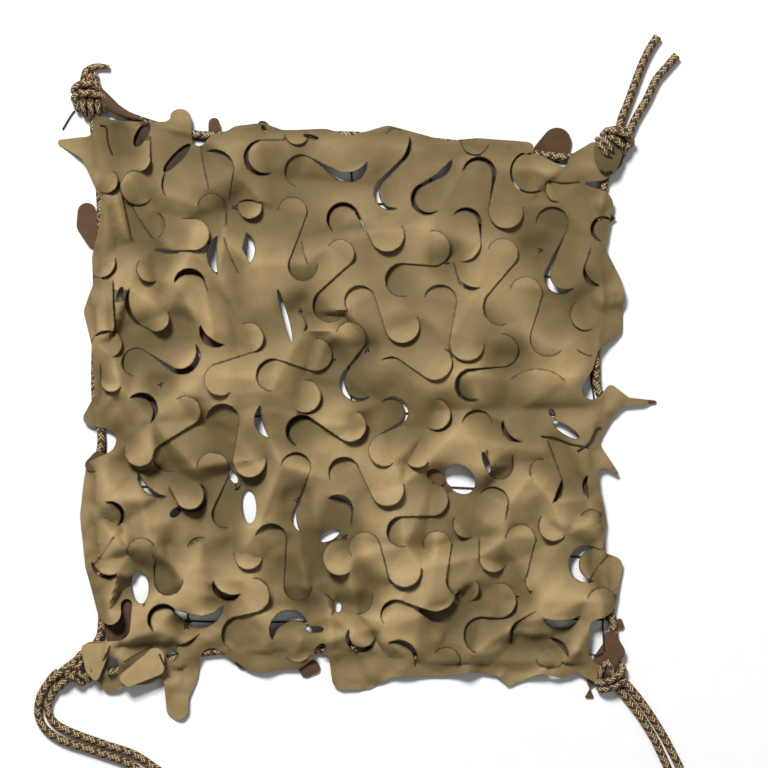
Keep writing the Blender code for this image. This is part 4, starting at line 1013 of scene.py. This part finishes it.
def rope_centres(points, step):
    """A rope's centre line, as it lies on the surface."""
    path = smooth_route(points, step)
    return np.column_stack([path, np.full(len(path), ROPE_CENTRE_Z)])


def tapered(centres, tip):
    """A tie's radius along its length: whole, then drawn in over its last stretch to its tip."""
    share = np.linspace(0, 1, len(centres))
    return ROPE_WIDTH / 2 * (1 - (1 - tip) * np.clip((share - 0.25) / 0.75, 0, 1) ** 1.5)


def add_tie(route, material):
    """A free end of rope beyond its knot, cut off bare."""
    centres = rope_centres(route.points, RING_STEP)
    radius = tapered(centres, route.tip)
    braid = tube(centres, radius, CORD_RELIEF, DARK_STRANDS, RING_POINTS)
    mesh = tubes_mesh(route.name + "_cord", [braid], material)
    tie = add_piece(route.name + "_cord", mesh, [route.name])


def outside_knots(points):
    """The middle stretch of a rope, from one knot's edge to the other's."""
    clear = np.ones(len(points), bool)
    for knot in KNOTS:
        tilt = math.radians(knot.tilt)
        across, down = points[:, 0] - knot.x, points[:, 1] - knot.y
        along_x = across * math.cos(tilt) + down * math.sin(tilt)
        along_y = down * math.cos(tilt) - across * math.sin(tilt)
        inner = (along_x / (knot.half_width - 3)) ** 2 + (along_y / (knot.half_length - 3)) ** 2
        clear &= inner > 1
    seen = np.flatnonzero(clear)
    return points[seen[0] : seen[-1] + 1]


def add_edge_rope(route, material):
    """The rope along one side, from knot to knot."""
    centres = outside_knots(rope_centres(route.points, RING_STEP))
    braid = tube(centres, ROPE_WIDTH / 2, CORD_RELIEF, DARK_STRANDS, RING_POINTS)
    mesh = tubes_mesh(route.name + "_cord", [braid], material)
    add_piece(route.name + "_cord", mesh, [route.name])


def arch_centres(arch):
    """A turn of rope from foot to foot over the knot's core."""
    count = max(12, round(math.hypot(arch.x2 - arch.x1, arch.y2 - arch.y1) * 1.8 / RING_STEP))
    t = np.linspace(0, 1, count)
    rise = np.sin(math.pi * t)
    run = np.array([arch.x2 - arch.x1, arch.y2 - arch.y1], float)
    sideways = np.array([-run[1], run[0]]) / np.linalg.norm(run)
    start = np.array([arch.x1, arch.y1], float)
    swing = 0.5 - 0.5 * np.cos(math.pi * t)
    plan = start + run * swing[:, None] + sideways * (arch.bow * rise)[:, None]
    return np.column_stack([plan, ARCH_FOOT + (arch.height - 7.0) * rise**0.8])


def add_knot(knot, material):
    """A corner knot: its turns of rope over a packed core."""
    arches = [Arch(*row) for row in knot.arches]
    turns = [tube(arch_centres(arch), arch.radius, 0.13, DARK_STRANDS, 32) for arch in arches]
    turns.append(knot_core(knot))
    mesh = tubes_mesh(knot.name + "_turns", turns, material)
    add_piece(knot.name + "_turns", mesh, [knot.name])


def knot_core(knot):
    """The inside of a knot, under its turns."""
    segments, rings = 32, 16
    corners, faces = [], []
    for i in range(rings + 1):
        rise = math.pi * i / rings - math.pi / 2
        for j in range(segments):
            turn = TAU * j / segments
            across = (knot.half_width - 4.5) * math.cos(turn) * math.cos(rise)
            down = (knot.half_length - 4.5) * math.sin(turn) * math.cos(rise)
            z = knot.height * 0.33 * (1 + 0.84 * math.sin(rise))
            corners.append((*tilted(knot, across, down), max(0.3, z)))
    for i in range(rings):
        for j in range(segments):
            a, b = i * segments + j, i * segments + (j + 1) % segments
            faces.append((a, b, b + segments, a + segments))
    # The core is painted almost the darkest tone, a painted shade under the turns.
    return np.array(corners), faces, np.full(len(corners), 0.12)


# ---- the support net ----------------------------------------------------------------------------


def selvedge(rope_paths):
    """The net's four edges, just inside the rope."""
    middle = np.mean([path.mean(axis=0) for path in rope_paths], axis=0)
    edge = []
    for path in rope_paths:
        inward = rightwards(path)
        towards = ((middle - path) * inward).sum(axis=1)
        edge.append((path + inward * np.sign(towards)[:, None] * 4.9)[8:-8])
    return edge


def twine(points, wander):
    """A thin twisted twine through plan points, lying on the surface."""
    path = smooth_route(points, 1.6)
    if wander:
        at = np.arange(len(path)) * 1.6
        path = path + np.column_stack([np.sin(at / 21 + wander), np.sin(at / 27 + wander * 2)]) * 0.5
    centres = np.column_stack([path, np.full(len(path), 0.95)])
    return tube(centres, TWINE_RADIUS, 0.25, (0, 3), 10)


def twine_knot(x, y):
    """A small netting knot: two crossed half turns."""
    turns = []
    for dx, dy in ((-2.6, -1.2), (-1.2, 2.6)):
        arch = arch_centres(Arch(x + dx, y + dy, x - dx, y - dy, 8.4, 0.8))
        turns.append(tube(arch * [1, 1, 0.42], 0.85, 0.2, (0, 3), 10))
    return turns


def add_net(rope_paths, material):
    """The twine net: rows and columns that wander a little, knotted where they cross, and a selvedge."""
    top, right, bottom, left = selvedge(rope_paths)

    def edge_point(side, axis, value):
        """The place where a row or a column of twine meets one side."""
        order = np.argsort(side[:, axis])
        point = [0.0, 0.0]
        point[axis] = value
        point[1 - axis] = float(np.interp(value, side[order, axis], side[order, 1 - axis]))
        return point

    knots = {}
    for j, y in enumerate(NET_ROWS):
        for i, x in enumerate(NET_COLUMNS):
            wave = 3.0 * math.sin(0.9 * i + 1.7 * j)
            knots[i, j] = (x + wave, y - wave * 0.8)
    turns = []
    for i, x in enumerate(NET_COLUMNS):
        between = [knots[i, j] for j in range(len(NET_ROWS))]
        turns.append(twine([edge_point(top, 0, x), *between, edge_point(bottom, 0, x)], i + 1.0))
    for j, y in enumerate(NET_ROWS):
        between = [knots[i, j] for i in range(len(NET_COLUMNS))]
        turns.append(twine([edge_point(left, 1, y), *between, edge_point(right, 1, y)], j + 8.0))
    turns += [twine(side[::6], 0) for side in (top, right, bottom, left)]
    for x, y in knots.values():
        turns += twine_knot(x, y)
    mesh = tubes_mesh("knotted_twine_net", turns, material)
    add_piece("knotted_twine_net", mesh, ["support_net"])


def resting_on(sheet, path):
    """A twine's centres along a plan path, on the highest thing under it: the sheet, or the floor beyond."""
    tree = plan_tree([vertex.co.xy for vertex in sheet.data.vertices])
    heights = []
    for x, y in path:
        spot = place(x, y, 0)
        near = [sheet.data.vertices[i].co.z / MM for _, i, _ in tree.find_range(spot, 2.5 * MM)]
        heights.append(max(near) + 0.7 if near else 1.0)
    smooth = np.convolve(np.pad(heights, 2, mode="edge"), np.full(5, 0.2), mode="valid")
    return np.column_stack([path, np.maximum(smooth, 1.0)])


def add_lashings(cloth, material):
    """Dark twine, knotted on the cloth where it is held to the net, and loose ends of it at the edge."""
    turns = []
    for i, (x, y) in enumerate(LASHINGS):
        lean = 0.7 * i
        for spin, reach in ((lean, 3.6), (lean + 1.9, 2.8)):
            dx, dy = reach * math.cos(spin), reach * math.sin(spin)
            arch = arch_centres(Arch(x - dx, y - dy, x + dx, y + dy, 9.0, 0.9))
            arch[:, 2] = TIED_Z + 0.5 + (arch[:, 2] - ARCH_FOOT) * 0.75
            turns.append(tube(arch, 0.8, 0.2, (0, 3), 10))
    for points in TWINE_ENDS:
        turns.append(tube(resting_on(cloth, smooth_route(points, 1.2)), TWINE_RADIUS, 0.2, (0, 3), 10))
    mesh = tubes_mesh("twine_lashings", turns, material)
    add_piece("twine_lashings", mesh, [])


# ---- finishes -----------------------------------------------------------------------------------


def linear(hex_colour):
    """An sRGB hex colour as linear red, green, blue and alpha."""
    parts = [int(hex_colour[i : i + 2], 16) / 255 for i in (1, 3, 5)]
    return [p / 12.92 if p <= 0.04045 else ((p + 0.055) / 1.055) ** 2.4 for p in parts] + [1.0]


def node(tree, kind, settings=None, **links):
    """A shader node with its settings, and its inputs set to values or linked to other nodes' sockets."""
    made = tree.nodes.new("ShaderNode" + kind)
    for key, value in (settings or {}).items():
        setattr(made, key, value)
    for key, value in links.items():
        number = key[1:]
        socket = made.inputs[int(number) if number.isdigit() else key.replace("_", " ")]
        if isinstance(value, bpy.types.NodeSocket):
            tree.links.new(value, socket)
        else:
            socket.default_value = value
    return made


def new_finish(name, roughness):
    """A material with its nodes and its shader."""
    material = bpy.data.materials.new(name)
    material.use_nodes = True
    tree = material.node_tree
    shader = tree.nodes["Principled BSDF"]
    shader.inputs["Roughness"].default_value = roughness
    return material, tree, shader


def coated_cloth(name, light, mid, dark):
    """Thin woven polyester, roller coated with a matt polyurethane: faint threads under a dull skin, with
    painted shade and highlight.
    """
    material, tree, shader = new_finish(name, 0.72)
    where = node(tree, "TexCoord").outputs["Object"]
    clouds = node(tree, "TexNoise", Vector=where, Scale=7.0, Detail=3.0, Roughness=0.5)
    # Painted shading: a point attribute moves the skin from its dark colour, a painted shade, to its light
    # one, a painted highlight; the clouds vary the tone at random.
    rubbed = node(tree, "Attribute", {"attribute_name": "rubbed"}).outputs["Fac"]
    uneven = node(tree, "Math", {"operation": "MULTIPLY"}, i0=clouds.outputs["Fac"], i1=0.6)
    tone = node(tree, "Math", {"operation": "MULTIPLY_ADD"}, i0=rubbed, i1=0.7,
                i2=uneven.outputs[0])
    skin = node(tree, "ValToRGB", Fac=tone.outputs[0])
    skin.color_ramp.elements.new(0.65)
    for stop, at, colour in zip(skin.color_ramp.elements, (0.4, 0.65, 1.0), (dark, mid, light)):
        stop.position, stop.color = at, linear(colour)
    specks = node(tree, "TexNoise", Vector=where, Scale=420.0, Detail=2.0, Roughness=0.7)
    worn = node(tree, "MapRange", Value=specks.outputs["Fac"], From_Min=0.3, From_Max=0.7,
                To_Min=0.93, To_Max=1.06)
    tinted = node(tree, "VectorMath", {"operation": "MULTIPLY"}, i0=skin.outputs["Color"],
                  i1=worn.outputs[0])
    # The cut edges turn towards the singed colour: brown singe, and a painted shadow beside each tongue.
    singed = node(tree, "Attribute", {"attribute_name": "singed"}).outputs["Fac"]
    edge_darkening = node(tree, "MapRange", Value=singed, From_Min=0.5, From_Max=0.95)
    edged = node(tree, "Mix", {"data_type": "RGBA"}, i0=edge_darkening.outputs[0], i6=tinted.outputs[0],
                 i7=linear(SINGED_SHADED_EDGE))
    tree.links.new(edged.outputs[2], shader.inputs["Base Color"])
    threads = 1 / (THREAD_PITCH * MM) / WAVE_BANDS
    warp = node(tree, "TexWave", {"bands_direction": "X"}, Vector=where, Scale=threads)
    weft = node(tree, "TexWave", {"bands_direction": "Y"}, Vector=where, Scale=threads)
    weave = node(tree, "Math", {"operation": "MULTIPLY"}, i0=warp.outputs["Fac"],
                 i1=weft.outputs["Fac"])
    grain = node(tree, "Math", {"operation": "ADD"}, i0=weave.outputs[0], i1=specks.outputs["Fac"])
    bump = node(tree, "Bump", Strength=0.25, Distance=0.0003, Height=grain.outputs[0])
    tree.links.new(bump.outputs[0], shader.inputs["Normal"])
    shader.inputs["IOR"].default_value = 1.45
    shader.inputs["Specular IOR Level"].default_value = 0.25
    return material


def braided_cord(name, pale, mid, dark):
    """Braided synthetic cord: pale shiny crests, brown painted shade between them, and a few dark strands in
    the plait.
    """
    material, tree, shader = new_finish(name, 0.6)
    tone = node(tree, "Attribute", {"attribute_name": "strand_tone_and_groove_shade"})
    plait = node(tree, "ValToRGB", Fac=tone.outputs["Fac"])
    plait.color_ramp.elements.new(0.6)
    for stop, at, colour in zip(plait.color_ramp.elements, (0.12, 0.6, 0.95), (dark, mid, pale)):
        stop.position, stop.color = at, linear(colour)
    tree.links.new(plait.outputs["Color"], shader.inputs["Base Color"])
    where = node(tree, "TexCoord").outputs["Object"]
    fibres = node(tree, "TexNoise", Vector=where, Scale=1500.0, Detail=2.0)
    bump = node(tree, "Bump", Strength=0.3, Distance=0.0002, Height=fibres.outputs["Fac"])
    tree.links.new(bump.outputs[0], shader.inputs["Normal"])
    shader.inputs["IOR"].default_value = 1.5
    shader.inputs["Specular IOR Level"].default_value = 0.25
    return material


def floor_finish():
    """Matt white board."""
    material, tree, shader = new_finish("matt_white_board", 0.8)
    where = node(tree, "TexCoord").outputs["Object"]
    fine = node(tree, "TexNoise", Vector=where, Scale=40.0, Detail=2.0)
    tone = node(tree, "MapRange", Value=fine.outputs["Fac"], To_Min=0.72, To_Max=0.76)
    tree.links.new(tone.outputs[0], shader.inputs["Base Color"])
    return material


# ---- camera, light and floor --------------------------------------------------------------------


def add_camera():
    """Straight above the sheet, with image up at +Y."""
    camera = bpy.data.cameras.new("camera")
    camera.sensor_width = 36.0
    camera.lens = camera.sensor_width * (CAMERA_HEIGHT - PICTURE_LEVEL) / PICTURE_SPAN
    camera.clip_end = 20.0
    view = bpy.data.objects.new("camera", camera)
    view.location = place(*PICTURE_MIDDLE, CAMERA_HEIGHT / MM)
    bpy.context.scene.collection.objects.link(view)
    bpy.context.scene.camera = view


def add_lights():
    """A high softbox beyond the top left, a weak low one opposite, and a pale room."""
    for name, place_m, size, power in (
        ("key_softbox", (-1.6, 3.6, 4.4), 1.5, 560.0),
        ("fill_softbox", (1.6, -0.8, 2.0), 2.4, 8.0),
    ):
        lamp = bpy.data.lights.new(name, "AREA")
        lamp.size = size
        lamp.energy = power
        light = bpy.data.objects.new(name, lamp)
        light.location = place_m
        light.rotation_euler = (-Vector(place_m)).to_track_quat("-Z", "Y").to_euler()
        bpy.context.scene.collection.objects.link(light)
    world = bpy.data.worlds.new("pale_studio")
    world.use_nodes = True
    world.node_tree.nodes["Background"].inputs["Color"].default_value = (1, 1, 1, 1)
    world.node_tree.nodes["Background"].inputs["Strength"].default_value = 0.22
    bpy.context.scene.world = world


def add_floor():
    """A wide board under the sheet, for its shadow only."""
    mesh = bpy.data.meshes.new("studio_floor")
    mesh.from_pydata([(-4, -4, 0), (4, -4, 0), (4, 4, 0), (-4, 4, 0)], [], [(0, 1, 2, 3)])
    mesh.materials.append(floor_finish())
    floor = bpy.data.objects.new("studio_floor", mesh)
    bpy.context.scene.collection.objects.link(floor)


def main():
    add_camera()
    cord = braided_cord("braided_polyester_cord", "#C4AC85", "#6B5235", "#281A0F")
    for route in TIES:
        add_tie(route, cord)
    rope_paths = [smooth_route(route.points, 6.0) for route in EDGE_ROPES]
    for route in EDGE_ROPES:
        add_edge_rope(route, cord)
    for knot in KNOTS:
        add_knot(knot, cord)
    dark_twine = braided_cord("dark_net_twine", "#4A3A2A", "#33271C", "#1A130D")
    add_net(rope_paths, dark_twine)
    sand = coated_cloth("sand_coated_cloth", "#957F58", "#6B5A3A", "#53462B")
    brown = coated_cloth("brown_cloth_reverse", "#5F452E", "#4F3925", "#3D2C1D")
    rim = coated_cloth("cut_cloth_rim", "#4B3C28", "#403321", "#35291A")
    cloth = add_cloth(rope_paths, [sand, brown, rim, brown, sand, rim])
    add_lashings(cloth, dark_twine)
    add_lights()
    add_floor()
    bpy.context.scene.view_settings.view_transform = "Standard"


main()
